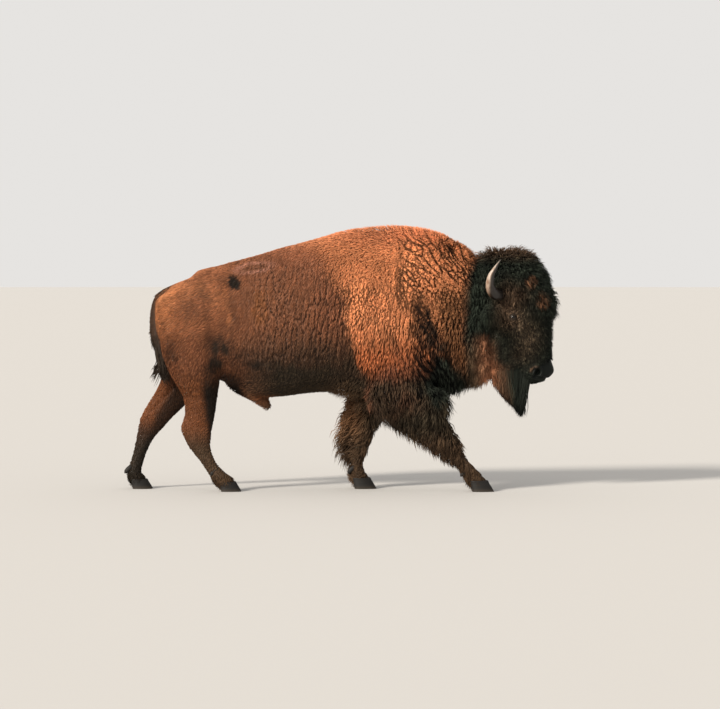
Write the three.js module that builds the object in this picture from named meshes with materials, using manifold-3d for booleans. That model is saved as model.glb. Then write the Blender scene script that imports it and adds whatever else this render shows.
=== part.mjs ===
// An American bison bull as a still, life-size model, walking, with its head held low.
// Millimetres, +Z up, +X the way the animal faces, -Y its right side. It stands on z = 0.
// The flesh is lofted through named stations, joined into one body and then parted with thin cuts.
import * as THREE from "three";
import Module from "manifold-3d";

const wasm = await Module();
wasm.setup();

// ---- Driving dimensions ----
const GAP = 0.4; // clear width of every cut between two sub-parts
const HUMP_TOP = 1790; // highest point of the coat above the ground
const RIGHT = -1; // sign of y on each side
const LEFT = 1;
const EYE_RADIUS = 21;
const EYE_PLACE = { x: 1170, y: 183, z: 1172 };
const CORONET = { fore: 74, hind: 66 }; // height at which the hoof takes over from the leg
const CLEFT = 7; // width of the slit between the two claws of a foot
const FAR = 4000; // larger than the animal, for the blocks that part it

const COLOURS = {
  cape: 0xb06a3c,
  flank: 0x6b4630,
  mane: 0x2b211b,
  leg: 0x3a2a20,
  horn: 0x8a7d6b,
  hoof: 0x26221f,
  eye: 0x120d0a,
};
const paint = (colour, roughness) =>
  new THREE.MeshStandardMaterial({ color: COLOURS[colour], roughness, metalness: 0 });
const MATERIALS = {
  cape: paint("cape", 0.95),
  flank: paint("flank", 0.9),
  mane: paint("mane", 0.95),
  leg: paint("leg", 0.9),
  horn: paint("horn", 0.45),
  hoof: paint("hoof", 0.5),
  eye: paint("eye", 0.08),
};

// ---- Lofting ----
const catmullRom = (a, b, c, d, t) =>
  0.5 *
  (2 * b + (c - a) * t + (2 * a - 5 * b + 4 * c - d) * t * t + (3 * b - a - 3 * c + d) * t ** 3);

// The numbers of a station list at place t, where whole numbers are the stations themselves.
function rowAt(stations, t) {
  const last = stations.length - 1;
  const i = Math.min(Math.floor(t), last - 1);
  const [a, b, c, d] = [i - 1, i, i + 1, i + 2].map(
    (k) => stations[THREE.MathUtils.clamp(k, 0, last)],
  );
  return b.map((_, n) => catmullRom(a[n], b[n], c[n], d[n], t - i));
}

const power = (value, exponent) => Math.sign(value) * Math.abs(value) ** exponent;

// A closed skin through stations [x, y, z, front, back, half, frontPower, backPower].
// At each station the section is a superellipse square to the path: it reaches `front` along
// the hint direction, `back` against it and `half` to both sides. A power of 2 is an ellipse,
// a smaller one pinches that half towards a ridge. `along` fixes the direction of the path.
// `grow` moves the whole surface out, the two ends as well.
function loft({ stations, hint, along, sides = 16, steps = 2, grow = 0 }) {
  const count = (stations.length - 1) * steps + 1;
  const rows = Array.from({ length: count }, (_, i) => rowAt(stations, i / steps));
  const centres = rows.map(([x, y, z]) => new THREE.Vector3(x, y, z));
  const positions = [];
  const index = [];
  rows.forEach(([, , , front, back, half, frontPower, backPower], i) => {
    const tangent = along
      ? along.clone()
      : centres[Math.min(i + 1, count - 1)].clone().sub(centres[Math.max(i - 1, 0)]);
    tangent.normalize();
    if (i === 0) centres[i].addScaledVector(tangent, -grow);
    if (i === count - 1) centres[i].addScaledVector(tangent, grow);
    const up = hint.clone().addScaledVector(tangent, -hint.dot(tangent)).normalize();
    const side = tangent.clone().cross(up);
    for (let k = 0; k < sides; k++) {
      const angle = (2 * Math.PI * k) / sides;
      const c = Math.cos(angle);
      const s = Math.sin(angle);
      const exponent = 2 / (c > 0 ? frontPower : backPower);
      const point = centres[i]
        .clone()
        .addScaledVector(up, ((c > 0 ? front : back) + grow) * power(c, exponent))
        .addScaledVector(side, (half + grow) * power(s, exponent));
      positions.push(...point.toArray());
    }
  });
  for (let i = 0; i < count - 1; i++) {
    for (let k = 0; k < sides; k++) {
      const a = i * sides + k;
      const b = i * sides + ((k + 1) % sides);
      index.push(a, b, b + sides, a, b + sides, a + sides);
    }
  }
  const [start, end] = [count * sides, count * sides + 1];
  positions.push(...centres[0].toArray(), ...centres[count - 1].toArray());
  for (let k = 0; k < sides; k++) {
    const next = (k + 1) % sides;
    index.push(start, next, k);
    index.push(end, (count - 1) * sides + k, (count - 1) * sides + next);
  }
  const geometry = new THREE.BufferGeometry();
  geometry.setAttribute("position", new THREE.Float32BufferAttribute(positions, 3));
  geometry.setIndex(index);
  return solidOf(geometry);
}

// ---- Solids ----
function solidOf(geometry) {
  return new wasm.Manifold(
    new wasm.Mesh({
      numProp: 3,
      vertProperties: new Float32Array(geometry.attributes.position.array),
      triVerts: new Uint32Array(geometry.index.array),
    }),
  );
}

// The block of all space that lies beyond a plane, on the side its normal points to.
function beyond([point, normal], offset) {
  const n = new THREE.Vector3(...normal).normalize();
  const place = new THREE.Vector3(...point).addScaledVector(n, FAR / 2 + offset);
  const turn = new THREE.Quaternion().setFromUnitVectors(new THREE.Vector3(0, 0, 1), n);
  const box = new THREE.BoxGeometry(FAR * 2, FAR * 2, FAR)
    .applyQuaternion(turn)
    .translate(...place.toArray());
  const corners = box.attributes.position;
  const merged = new Map();
  const positions = [];
  const index = Array.from(box.index.array, (v) => {
    const corner = [corners.getX(v), corners.getY(v), corners.getZ(v)];
    const key = corner.map(Math.round).join();
    if (!merged.has(key)) {
      merged.set(key, positions.length / 3);
      positions.push(...corner);
    }
    return merged.get(key);
  });
  const geometry = new THREE.BufferGeometry();
  geometry.setAttribute("position", new THREE.Float32BufferAttribute(positions, 3));
  geometry.setIndex(index);
  return solidOf(geometry);
}

// Crumbs that a cut leaves beside the piece it is for are dropped.
const largest = (solid) => solid.decompose().sort((a, b) => b.volume() - a.volume())[0];

// Takes the region that lies beyond all the given planes out of a solid: [the piece, the rest],
// a GAP apart.
function take(solid, ...planes) {
  const block = (offset) =>
    planes.map((plane) => beyond(plane, offset)).reduce((a, b) => a.intersect(b));
  return [largest(solid.intersect(block(GAP / 2))), solid.subtract(block(-GAP / 2))];
}

const Z_UP = new THREE.Vector3(0, 0, 1);
const X_AHEAD = new THREE.Vector3(1, 0, 0);

// ---- Trunk and neck: upright sections from the rump to the back of the head ----
// [x, coat top, coat bottom, half width, height of the widest point, top power, bottom power]
const TRUNK = [
  [-1266, 1255, 1150, 50, 1210, 2, 2],
  [-1244, 1312, 1000, 140, 1190, 2, 2],
  [-1185, 1360, 900, 212, 1175, 2, 2],
  [-1085, 1408, 800, 258, 1165, 1.9, 2],
  [-1000, 1442, 765, 278, 1160, 1.8, 2],
  [-930, 1492, 745, 292, 1160, 1.75, 2],
  [-790, 1526, 735, 300, 1120, 1.8, 2],
  [-690, 1552, 690, 302, 1060, 1.8, 2.1],
  [-560, 1588, 630, 318, 1020, 1.8, 2.2],
  [-400, 1636, 630, 342, 985, 1.75, 2.2],
  [-200, 1690, 655, 362, 970, 1.7, 2.2],
  [0, 1750, 655, 366, 965, 1.65, 2.1],
  [150, 1780, 615, 362, 970, 1.62, 2],
  [310, HUMP_TOP, 590, 356, 985, 1.6, 2],
  [450, 1780, 590, 344, 1005, 1.62, 2],
  [590, 1758, 600, 326, 1030, 1.66, 1.9],
  [710, 1718, 640, 302, 1060, 1.7, 1.9],
  [820, 1660, 672, 272, 1085, 1.7, 1.8],
  [920, 1592, 706, 246, 1095, 1.8, 1.8],
  [1000, 1520, 728, 215, 1100, 1.9, 1.8],
  [1060, 1400, 780, 150, 1100, 2, 2],
];
const trunkStations = TRUNK.map(([x, top, bottom, half, widest, peak, keel]) => [
  x, 0, widest, top - widest, widest - bottom, half, peak, keel,
]);
const trunkLoft = (grow) =>
  loft({ stations: trunkStations, hint: Z_UP, along: X_AHEAD, sides: 24, steps: 1, grow });

// ---- Head: level sections from the crown of the mop down to the lips ----
// [z, front of the face, back of the head, half width, depth of the widest point behind the front]
const HEAD = [
  [1642, 1150, 1030, 40, 60, 2, 2],
  [1632, 1225, 995, 105, 120, 2, 2],
  [1595, 1315, 955, 172, 175, 2, 2],
  [1525, 1372, 928, 214, 215, 2.1, 2],
  [1440, 1402, 915, 234, 240, 2.2, 2],
  [1350, 1442, 920, 238, 260, 2.1, 2],
  [1270, 1474, 930, 226, 280, 2, 2],
  [1205, 1462, 940, 208, 270, 2, 2],
  [1150, 1440, 955, 192, 260, 2.1, 2],
  [1080, 1436, 970, 172, 250, 2.2, 1.9],
  [1000, 1434, 990, 146, 220, 2.3, 1.8],
  [920, 1432, 1030, 122, 180, 2.4, 1.8],
  [850, 1442, 1110, 112, 140, 2.5, 2],
  [800, 1440, 1170, 108, 130, 2.5, 2.2],
  [755, 1410, 1195, 98, 120, 2.4, 2.2],
  [722, 1370, 1215, 76, 100, 2.2, 2.2],
  [708, 1340, 1240, 40, 60, 2, 2],
];
const headStations = HEAD.map(([z, front, back, half, depth, face, nape]) => [
  front - depth, 0, z, depth, front - depth - back, half, face, nape,
]);
const DOWN = new THREE.Vector3(0, 0, -1);
const headLoft = (grow) =>
  loft({ stations: headStations, hint: X_AHEAD, along: DOWN, sides: 24, steps: 1, grow });

// The beard hangs from the jaw as one flattened lock that narrows to its tip.
const beardLoft = (grow) =>
  loft({
    stations: [
      [1190, 0, 900, 90, 180, 90, 2, 2],
      [1206, 0, 800, 96, 205, 94, 2, 2],
      [1216, 0, 715, 70, 195, 82, 2, 2],
      [1224, 0, 620, 44, 105, 58, 2, 2],
      [1230, 0, 550, 22, 52, 36, 2, 2],
      [1234, 0, 498, 9, 20, 16, 2, 2],
    ],
    hint: X_AHEAD,
    along: DOWN,
    sides: 10,
    steps: 1,
    grow,
  });

// ---- Legs: sections square to the bone, from inside the body down to the coronet ----
const legStations = {
  hindRight: [
    [-985, -120, 1190, 210, 205, 120, 2, 2],
    [-992, -150, 1060, 240, 225, 132, 2, 2],
    [-975, -158, 900, 200, 205, 118, 2, 2],
    [-948, -155, 760, 158, 160, 98, 2, 2],
    [-936, -150, 650, 122, 124, 76, 2, 2],
    [-945, -146, 530, 104, 108, 60, 2, 2],
    [-966, -143, 420, 98, 100, 54, 2.1, 1.8],
    [-950, -141, 335, 84, 84, 51, 2.2, 1.8],
    [-915, -139, 258, 52, 56, 41, 2, 2],
    [-862, -137, 170, 43, 46, 36, 2, 2],
    [-806, -135, 100, 47, 54, 47, 2, 2],
    [-762, -134, 62, 46, 48, 48, 2, 2],
    [-742, -134, 40, 40, 40, 44, 2, 2],
  ],
  hindLeft: [
    [-985, 120, 1190, 210, 205, 120, 2, 2],
    [-1000, 150, 1040, 235, 222, 130, 2, 2],
    [-1030, 158, 890, 195, 180, 116, 2, 2],
    [-1085, 155, 750, 150, 135, 94, 2, 2],
    [-1155, 150, 640, 108, 102, 72, 2, 2],
    [-1230, 146, 540, 92, 92, 57, 2, 2],
    [-1283, 143, 452, 88, 86, 52, 2.1, 1.8],
    [-1320, 141, 365, 66, 66, 46, 2.1, 1.9],
    [-1352, 139, 270, 50, 52, 40, 2, 2],
    [-1380, 137, 180, 44, 46, 36, 2, 2],
    [-1398, 136, 110, 46, 52, 46, 2, 2],
    [-1374, 135, 66, 46, 46, 48, 2, 2],
    [-1358, 135, 40, 40, 40, 44, 2, 2],
  ],
  foreRight: [
    [400, -170, 1120, 190, 200, 130, 2, 2],
    [400, -218, 960, 230, 225, 158, 2, 2],
    [418, -236, 800, 240, 250, 160, 2, 2],
    [440, -224, 680, 225, 268, 142, 2, 2],
    [515, -200, 555, 185, 205, 122, 2, 2],
    [612, -182, 440, 148, 160, 106, 2, 2],
    [700, -168, 340, 102, 130, 88, 2, 2],
    [768, -158, 262, 66, 92, 64, 2, 2],
    [822, -150, 195, 44, 56, 44, 2, 2],
    [872, -144, 130, 46, 52, 45, 2, 2],
    [914, -141, 84, 48, 50, 50, 2, 2],
    [944, -140, 48, 44, 44, 48, 2, 2],
  ],
  foreLeft: [
    [330, 170, 1120, 190, 200, 130, 2, 2],
    [310, 218, 960, 225, 225, 156, 2, 2],
    [285, 234, 800, 225, 235, 158, 2, 2],
    [250, 222, 670, 185, 208, 138, 2, 2],
    [190, 200, 540, 138, 215, 116, 2, 2],
    [152, 184, 420, 94, 238, 104, 2, 1.9],
    [130, 168, 320, 78, 212, 88, 2, 1.9],
    [122, 158, 235, 58, 120, 66, 2, 2],
    [118, 150, 180, 44, 58, 44, 2, 2],
    [118, 144, 122, 44, 52, 45, 2, 2],
    [136, 141, 84, 48, 50, 50, 2, 2],
    [156, 140, 48, 44, 44, 48, 2, 2],
  ],
};
const legLoft = (name, grow = 0) =>
  loft({ stations: legStations[name], hint: X_AHEAD, sides: 14, steps: 1, grow });

// ---- Feet ----
// Each foot has two claws, mirrored about a slit along the foot, that stand flat on the ground.
const FEET = {
  fore: { length: 148, half: 33, lean: 26 },
  hind: { length: 134, half: 29, lean: 24 },
};
function claw(x, y, side, kind, grow = 0) {
  const { length, half, lean } = FEET[kind];
  const top = CORONET[kind] - GAP;
  const middle = y + side * (CLEFT / 2 + half);
  const section = (z, shift, scale) => [
    x + shift, middle, z, 0.56 * length * scale, 0.44 * length * scale, half * scale, 1.9, 2.6,
  ];
  return loft({
    stations: [section(top, -lean, 0.74), section(top * 0.45, -lean * 0.4, 0.9), section(0, 0, 1)],
    hint: X_AHEAD,
    along: DOWN,
    sides: 10,
    steps: 1,
    grow,
  });
}

// A dewclaw is a short blunt cone at the back of the fetlock.
function dewclaw(x, y, z, side, grow = 0) {
  return loft({
    stations: [
      [x + 22, y + side * 20, z + 26, 13, 13, 12, 2, 2],
      [x - 4, y + side * 23, z + 12, 17, 17, 15, 2, 2],
      [x - 24, y + side * 25, z - 10, 15, 15, 13, 2, 2],
      [x - 30, y + side * 25, z - 24, 6, 6, 6, 2, 2],
    ],
    hint: X_AHEAD,
    sides: 6,
    steps: 1,
    grow,
  });
}

// ---- Head furniture ----
// The horn leaves the skull sideways and back, then curls up with its tip forward and inward.
const hornLoft = (side, grow) =>
  loft({
    stations: [
      [1125, 140, 1342, 50, 50, 50],
      [1088, 200, 1338, 47, 47, 47],
      [1044, 262, 1346, 42, 42, 42],
      [1020, 306, 1388, 34, 34, 34],
      [1023, 326, 1446, 25, 25, 25],
      [1046, 324, 1504, 15, 15, 15],
      [1078, 308, 1556, 4, 4, 4],
    ].map(([x, y, z, ...radii]) => [x, side * y, z, ...radii, 2, 2]),
    hint: X_AHEAD,
    sides: 10,
    steps: 2,
    grow,
  });

const earLoft = (side, grow) =>
  loft({
    stations: [
      [1045, 150, 1215, 26, 26, 18],
      [1025, 200, 1212, 36, 34, 17],
      [1000, 250, 1204, 46, 42, 15],
      [975, 296, 1192, 38, 36, 12],
      [955, 330, 1180, 14, 14, 7],
    ].map(([x, y, z, ...sizes]) => [x, side * y, z, ...sizes, 2, 2]),
    hint: Z_UP,
    sides: 10,
    steps: 1,
    grow,
  });

// A round eyeball, as rings along the line that it looks out on.
function eyeball(side, grow = 0) {
  const { x, y, z } = EYE_PLACE;
  const rings = 6;
  const stations = Array.from({ length: rings + 1 }, (_, i) => {
    const angle = Math.PI * THREE.MathUtils.lerp(0.03, 0.97, i / rings);
    const radius = EYE_RADIUS * Math.sin(angle);
    return [x, side * (y - EYE_RADIUS * Math.cos(angle)), z, radius, radius, radius, 2, 2];
  });
  return loft({ stations, hint: X_AHEAD, sides: 10, steps: 1, grow });
}

// ---- Tail and underside ----
const tailLoft = (grow) =>
  loft({
    stations: [
      [-1150, 0, 1322, 30, 30, 34],
      [-1205, 0, 1308, 30, 28, 36],
      [-1246, 0, 1262, 25, 25, 31],
      [-1266, 0, 1190, 18, 20, 24],
      [-1268, 0, 1110, 16, 18, 20],
      [-1258, 0, 1010, 20, 20, 22],
      [-1246, 0, 930, 34, 32, 34],
      [-1232, 0, 850, 42, 42, 40],
      [-1234, 0, 785, 30, 40, 30],
      [-1244, 0, 750, 8, 12, 8],
    ].map((row) => [...row, 2, 2]),
    hint: X_AHEAD,
    sides: 8,
    steps: 1,
    grow,
  });

const sheathLoft = (grow) =>
  loft({
    stations: [
      [-700, 0, 760, 60, 60, 55, 2, 2],
      [-620, 0, 700, 70, 60, 62, 2, 2],
      [-560, 0, 640, 66, 62, 58, 2, 2],
      [-515, 0, 585, 44, 46, 40, 2, 2],
      [-492, 0, 552, 20, 24, 20, 2, 2],
      [-484, 0, 538, 6, 8, 7, 2, 2],
    ],
    hint: X_AHEAD,
    sides: 12,
    steps: 1,
    grow,
  });

const scrotumLoft = (grow) =>
  loft({
    stations: [
      [-905, 0, 800, 50, 50, 50],
      [-905, 0, 740, 56, 52, 56],
      [-902, 0, 690, 54, 52, 58],
      [-898, 0, 650, 38, 38, 42],
      [-896, 0, 632, 12, 12, 14],
    ].map((row) => [...row, 2, 2]),
    hint: X_AHEAD,
    along: DOWN,
    sides: 10,
    steps: 1,
    grow,
  });

// ---- Assembly ----
const model = new THREE.Group();

function add(name, solid, material) {
  const { vertProperties, triVerts, numProp } = solid.getMesh();
  const geometry = new THREE.BufferGeometry();
  const positions = new Float32Array((vertProperties.length / numProp) * 3);
  for (let i = 0; i < positions.length / 3; i++)
    positions.set(vertProperties.subarray(i * numProp, i * numProp + 3), i * 3);
  geometry.setAttribute("position", new THREE.BufferAttribute(positions, 3));
  geometry.setIndex(new THREE.BufferAttribute(triVerts, 1));
  geometry.computeVertexNormals();
  const mesh = new THREE.Mesh(geometry, MATERIALS[material]);
  mesh.name = name;
  model.add(mesh);
}

// Where each foot stands and where its fetlock is.
const LEGS = [
  { name: "hindRight", tag: "hind_right", kind: "hind", side: RIGHT, foot: [-737, -134], fetlock: [-836, 128] },
  { name: "hindLeft", tag: "hind_left", kind: "hind", side: LEFT, foot: [-1350, 135], fetlock: [-1432, 126] },
  { name: "foreRight", tag: "fore_right", kind: "fore", side: RIGHT, foot: [952, -140], fetlock: [842, 122] },
  { name: "foreLeft", tag: "fore_left", kind: "fore", side: LEFT, foot: [164, 140], fetlock: [84, 124] },
];

let body = trunkLoft(0).add(headLoft(0));
for (const leg of LEGS) body = body.add(legLoft(leg.name));

// What is set into the flesh takes its own place out of it, a GAP wider.
function setInto(name, make, material) {
  body = body.subtract(make(GAP));
  add(name, make(0), material);
}
for (const side of [RIGHT, LEFT]) {
  const word = side === RIGHT ? "right" : "left";
  setInto(`horn_${word}`, (grow) => hornLoft(side, grow), "horn");
  setInto(`ear_${word}`, (grow) => earLoft(side, grow), "mane");
  setInto(`eye_${word}`, (grow) => eyeball(side, grow), "eye");
}
for (const leg of LEGS) {
  const [x, z] = leg.fetlock;
  const y = leg.foot[1];
  for (const side of [RIGHT, LEFT]) {
    const word = side === leg.side ? "outer" : "inner";
    setInto(`dewclaw_${leg.tag}_${word}`, (grow) => dewclaw(x, y, z, side, grow), "hoof");
  }
}
body = body.subtract(tailLoft(GAP));
const [dock, tuft] = take(tailLoft(0), [[-1270, 0, 985], [0, 0, 1]]);
add("tail", dock, "flank");
add("tail_tuft", largest(tuft), "mane");

// These hang from the flesh and keep a GAP below it.
const hang = (solid, ...above) => largest(above.reduce((left, other) => left.subtract(other), solid));
const haunches = ["hindRight", "hindLeft"].map((name) => legLoft(name, GAP));
add("beard", hang(beardLoft(0), headLoft(GAP), trunkLoft(GAP)), "mane");
add("sheath", hang(sheathLoft(0), trunkLoft(GAP)), "flank");
add("scrotum", hang(scrotumLoft(0), trunkLoft(GAP), ...haunches), "flank");

// Planes that part the flesh, each [a point, the way it faces], taken from the head back.
const ABOVE_FEET = [[0, 0, 565], [0, 0, 1]];
const [head, behindHead] = take(body, [[985, 0, 1100], [1, 0, 0.1]], ABOVE_FEET);
const [face, muzzle] = take(head, [[1330, 0, 905], [0.1, 0, 1]]);
const [neck, behindNeck] = take(behindHead, [[800, 0, 1100], [1, 0, -0.12]], ABOVE_FEET);
const [fore, behindFore] = take(behindNeck, [[-40, 0, 900], [1, 0, -0.1]]);
const [barrel, hind] = take(behindFore, [[-690, 0, 900], [1, 0, 0]]);
add("head", face, "mane");
add("muzzle", largest(muzzle), "mane");
add("neck", neck, "mane");
add("barrel", barrel, "flank");

// A quarter is parted from the core of the trunk by planes that lean out from the midline.
function quarters(block, { low, slope }) {
  const planes = [RIGHT, LEFT].map((side) => [[0, 0, low], [0, -side * slope, 1]]);
  const [core, limbs] = take(block, ...planes);
  const [left, right] = take(limbs, [[0, 0, 0], [0, 1, 0]]);
  return { core, left, right: largest(right) };
}
const hindParts = quarters(hind, { low: 560, slope: 1.95 });
const foreParts = quarters(fore, { low: 500, slope: 1.5 });
add("rump", hindParts.core, "flank");
add("hump", foreParts.core, "cape");

const CUTS = {
  hindRight: { knee: [[-930, 0, 660], [0.1, 0, 1]], hock: [[-960, 0, 372], [-0.35, 0, 1]] },
  hindLeft: { knee: [[-1140, 0, 668], [0.6, 0, 1]], hock: [[-1300, 0, 398], [0.3, 0, 1]] },
  foreRight: { knee: [[480, 0, 590], [-0.45, 0, 1]], hock: [[760, 0, 262], [-0.7, 0, 1]] },
  foreLeft: { knee: [[230, 0, 610], [0.25, 0, 1]], hock: [[120, 0, 262], [0.1, 0, 1]] },
};
const UPPER = { hind: "thigh", fore: "shoulder" };
const MIDDLE = { hind: "shank", fore: "forearm" };
for (const leg of LEGS) {
  const parts = leg.kind === "hind" ? hindParts : foreParts;
  const { knee, hock } = CUTS[leg.name];
  const [upper, rest] = take(parts[leg.side === RIGHT ? "right" : "left"], knee);
  const [middle, lower] = take(rest, hock);
  const [cannon] = take(lower, [[0, 0, CORONET[leg.kind]], [0, 0, 1]]);
  add(`${UPPER[leg.kind]}_${leg.tag}`, upper, leg.kind === "hind" ? "flank" : "cape");
  add(`${MIDDLE[leg.kind]}_${leg.tag}`, middle, leg.kind === "hind" ? "flank" : "mane");
  add(`cannon_${leg.tag}`, cannon, "leg");
  for (const side of [RIGHT, LEFT]) {
    const word = side === leg.side ? "outer" : "inner";
    add(`hoof_${leg.tag}_${word}`, claw(...leg.foot, side, leg.kind), "hoof");
  }
}

// The part's origin is on the ground, under the middle of the whole animal.
const box = new THREE.Box3().setFromObject(model);
const middle = box.getCenter(new THREE.Vector3());
model.position.set(-middle.x, -middle.y, -box.min.z);

export default model;
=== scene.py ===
"""An American bison bull: one skin over its flesh, a coat of solid locks, horns, hooves and eyes.

Tables are in millimetres from the animal's own zero: on the ground, in its middle plane, where x is
its length. Everything is made in metres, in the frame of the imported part.
"""

import itertools
import math

import bmesh
import bpy
import numpy as np

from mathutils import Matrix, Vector


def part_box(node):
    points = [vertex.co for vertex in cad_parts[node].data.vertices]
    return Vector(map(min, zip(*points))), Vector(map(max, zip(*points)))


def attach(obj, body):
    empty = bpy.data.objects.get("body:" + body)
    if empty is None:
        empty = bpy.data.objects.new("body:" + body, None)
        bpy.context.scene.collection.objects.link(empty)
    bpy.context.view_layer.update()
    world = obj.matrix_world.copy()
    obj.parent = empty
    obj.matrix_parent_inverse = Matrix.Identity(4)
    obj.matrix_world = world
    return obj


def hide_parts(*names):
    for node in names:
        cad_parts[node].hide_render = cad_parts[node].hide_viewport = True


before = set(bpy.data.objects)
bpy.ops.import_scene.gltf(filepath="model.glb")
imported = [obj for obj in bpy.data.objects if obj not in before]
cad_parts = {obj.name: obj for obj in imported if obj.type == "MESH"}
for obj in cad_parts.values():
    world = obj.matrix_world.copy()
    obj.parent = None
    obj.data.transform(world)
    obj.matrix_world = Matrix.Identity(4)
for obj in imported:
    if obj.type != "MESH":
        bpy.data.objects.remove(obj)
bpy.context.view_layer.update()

MM = 0.001
TURN = 2 * math.pi
RIGHT, LEFT = -1, 1
SIDES = ((RIGHT, "right"), (LEFT, "left"))
LEGS = ("fore_right", "fore_left", "hind_right", "hind_left")
UP = np.array([0.0, 0.0, 1.0])
DOWN = -UP
AHEAD = np.array([1.0, 0.0, 0.0])


# ---- The animal's zero in the frame ----
def middle(node):
    """The middle of a node's box."""
    low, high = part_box(node)
    return (np.array(low) + np.array(high)) / 2


CAD_EYE_X = 1170 * MM
ZERO = np.array([
    middle("eye_right")[0] - CAD_EYE_X, (middle("eye_right")[1] + middle("eye_left")[1]) / 2, 0.0,
])
EYE_X, EYE_Y, EYE_Z, EYE_RADIUS = 1158 * MM, 183 * MM, 1170 * MM, 21 * MM


# ---- Small tools ----
def linear(hex_colour):
    """An sRGB hex colour as linear numbers."""
    c = np.array([int(hex_colour[i : i + 2], 16) for i in (1, 3, 5)]) / 255
    return np.where(c <= 0.04045, c / 12.92, ((c + 0.055) / 1.055) ** 2.4)


def ramp(x, low, high):
    """0 below low, 1 above high, and a smooth S between. low may be the larger."""
    t = np.clip((x - low) / (high - low), 0, 1)
    return t * t * (3 - 2 * t)


def unit(v):
    return v / np.maximum(np.linalg.norm(v, axis=-1, keepdims=True), 1e-12)


def blend(a, b, share):
    return a + (b - a) * share[..., None]


def bell(x, width):
    """1 at zero, falling as exp(-(x / width)^2) to both sides."""
    return np.exp(-((x / width) ** 2))


def both_sides(q):
    """The points with the left side's laid over the right's."""
    return np.stack([q[:, 0], np.abs(q[:, 1]), q[:, 2]], -1)


def blob(q, centre, radii):
    """A soft round spot: 1 in the middle, falling as a bell with these radii in mm."""
    d = (q - np.array(centre) * MM) / (np.array(radii) * MM)
    return np.exp(-np.sum(d * d, axis=-1))


def spots(q, rows):
    """The sum of soft round spots, each [share, centre, radii]."""
    return sum(share * blob(q, centre, radii) for share, centre, radii in rows)


def patch(q, centre, radii, soft):
    """1 inside an egg with these radii in mm and 0 outside it, easing over a border `soft` wide."""
    d = np.linalg.norm((q - np.array(centre) * MM) / (np.array(radii) * MM), axis=-1)
    return ramp(d, 1 + soft, 1 - soft)


def inside(q, corners, soft):
    """1 inside an outline of corners in x-z, in mm and anticlockwise from the right, and 0 outside
    it, easing over `soft` mm: the least of the distances to its sides."""
    p = q[:, [0, 2]] / MM
    corners = np.array(corners, float)
    within = np.full(len(q), np.inf)
    for a, b in zip(corners, np.roll(corners, -1, axis=0)):
        side = (b - a) / np.linalg.norm(b - a)
        within = np.minimum(within, side[0] * (p[:, 1] - a[1]) - side[1] * (p[:, 0] - a[0]))
    return ramp(within, -soft, soft)


def cell_number(cell, seed):
    """A number from 0 to 1 for each whole-number cell: its indices scrambled by odd factors."""
    factors = np.array([73856093, 19349663, 83492791][: cell.shape[-1]], np.uint64)
    h = np.sum(cell.astype(np.uint64) * factors, axis=-1) + np.uint64(seed * 2654435761 % 2**32)
    for shift, factor in ((15, 2246822519), (13, 3266489917), (16, 668265263)):
        h = (h ^ (h >> np.uint64(shift))) * np.uint64(factor) & np.uint64(0xFFFFFFFF)
    return (h & np.uint64(0xFFFFFF)).astype(float) / 0xFFFFFF


def noise(q, size, seed):
    """Smooth noise from -1 to 1: numbers at the corners of cells of `size` mm, eased between."""
    p = q / (np.broadcast_to(size, 3) * MM) + 4096
    base = np.floor(p)
    t = p - base
    t = t * t * (3 - 2 * t)
    total = 0
    for dx, dy, dz in itertools.product((0, 1), repeat=3):
        share = np.abs(1 - dx - t[:, 0]) * np.abs(1 - dy - t[:, 1]) * np.abs(1 - dz - t[:, 2])
        total = total + share * cell_number(base + (dx, dy, dz), seed)
    return 2 * total - 1


def nearest_centres(p, seed):
    """Scatters a centre in each whole-number cell, and finds the two nearest to each point.

    Gives the vector to each of the two, the square of its length, and a number of the nearest
    one's own.
    """
    base, columns = np.floor(p), p.shape[1]
    first, second = np.full((2, len(p)), np.inf)
    to_first, to_second, own = np.zeros_like(p), np.zeros_like(p), np.zeros(len(p))
    for step in itertools.product((-1, 0, 1), repeat=columns):
        cell = base + step
        away = cell + np.stack([cell_number(cell, seed + 1 + k) for k in range(columns)], -1) - p
        d = np.sum(away * away, axis=-1)
        nearest, next_one = d < first, d < second
        second = np.where(nearest, first, np.where(next_one, d, second))
        to_second = np.where(nearest[:, None], to_first, np.where(next_one[:, None], away, to_second))
        first, to_first = np.where(nearest, d, first), np.where(nearest[:, None], away, to_first)
        own = np.where(nearest, cell_number(cell, seed + 4), own)
    return to_first, to_second, first, second, own


def clumps(q, size, seed):
    """Parts space into cells round scattered centres, `size` mm wide.

    Gives for each point the vector to its centre, how near the border between two cells it is
    (0 in the middle, 1 on the border) and a number of the cell's own.
    """
    scale = np.broadcast_to(size, 3) * MM
    to, _, first, second, own = nearest_centres(q / scale + 4096, seed)
    return to * scale, 1 - np.clip(np.sqrt(second) - np.sqrt(first), 0, 1), own


# ---- Surfaces ----
def through(rows, steps):
    """More rows between the given ones: a cubic through all, sloped as each one's neighbours are."""
    rows = np.asarray(rows, float)
    p = np.vstack([rows[:1], rows, rows[-1:]])
    a, b, c, d = p[:-3, None], p[1:-2, None], p[2:-1, None], p[3:, None]
    t = (np.arange(steps) / steps)[None, :, None]
    cubic = 2 * b + (c - a) * t + (2 * a - 5 * b + 4 * c - d) * t**2 + (3 * b - a - 3 * c + d) * t**3
    return np.vstack([(cubic / 2).reshape(-1, rows.shape[1]), rows[-1:]])


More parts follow.
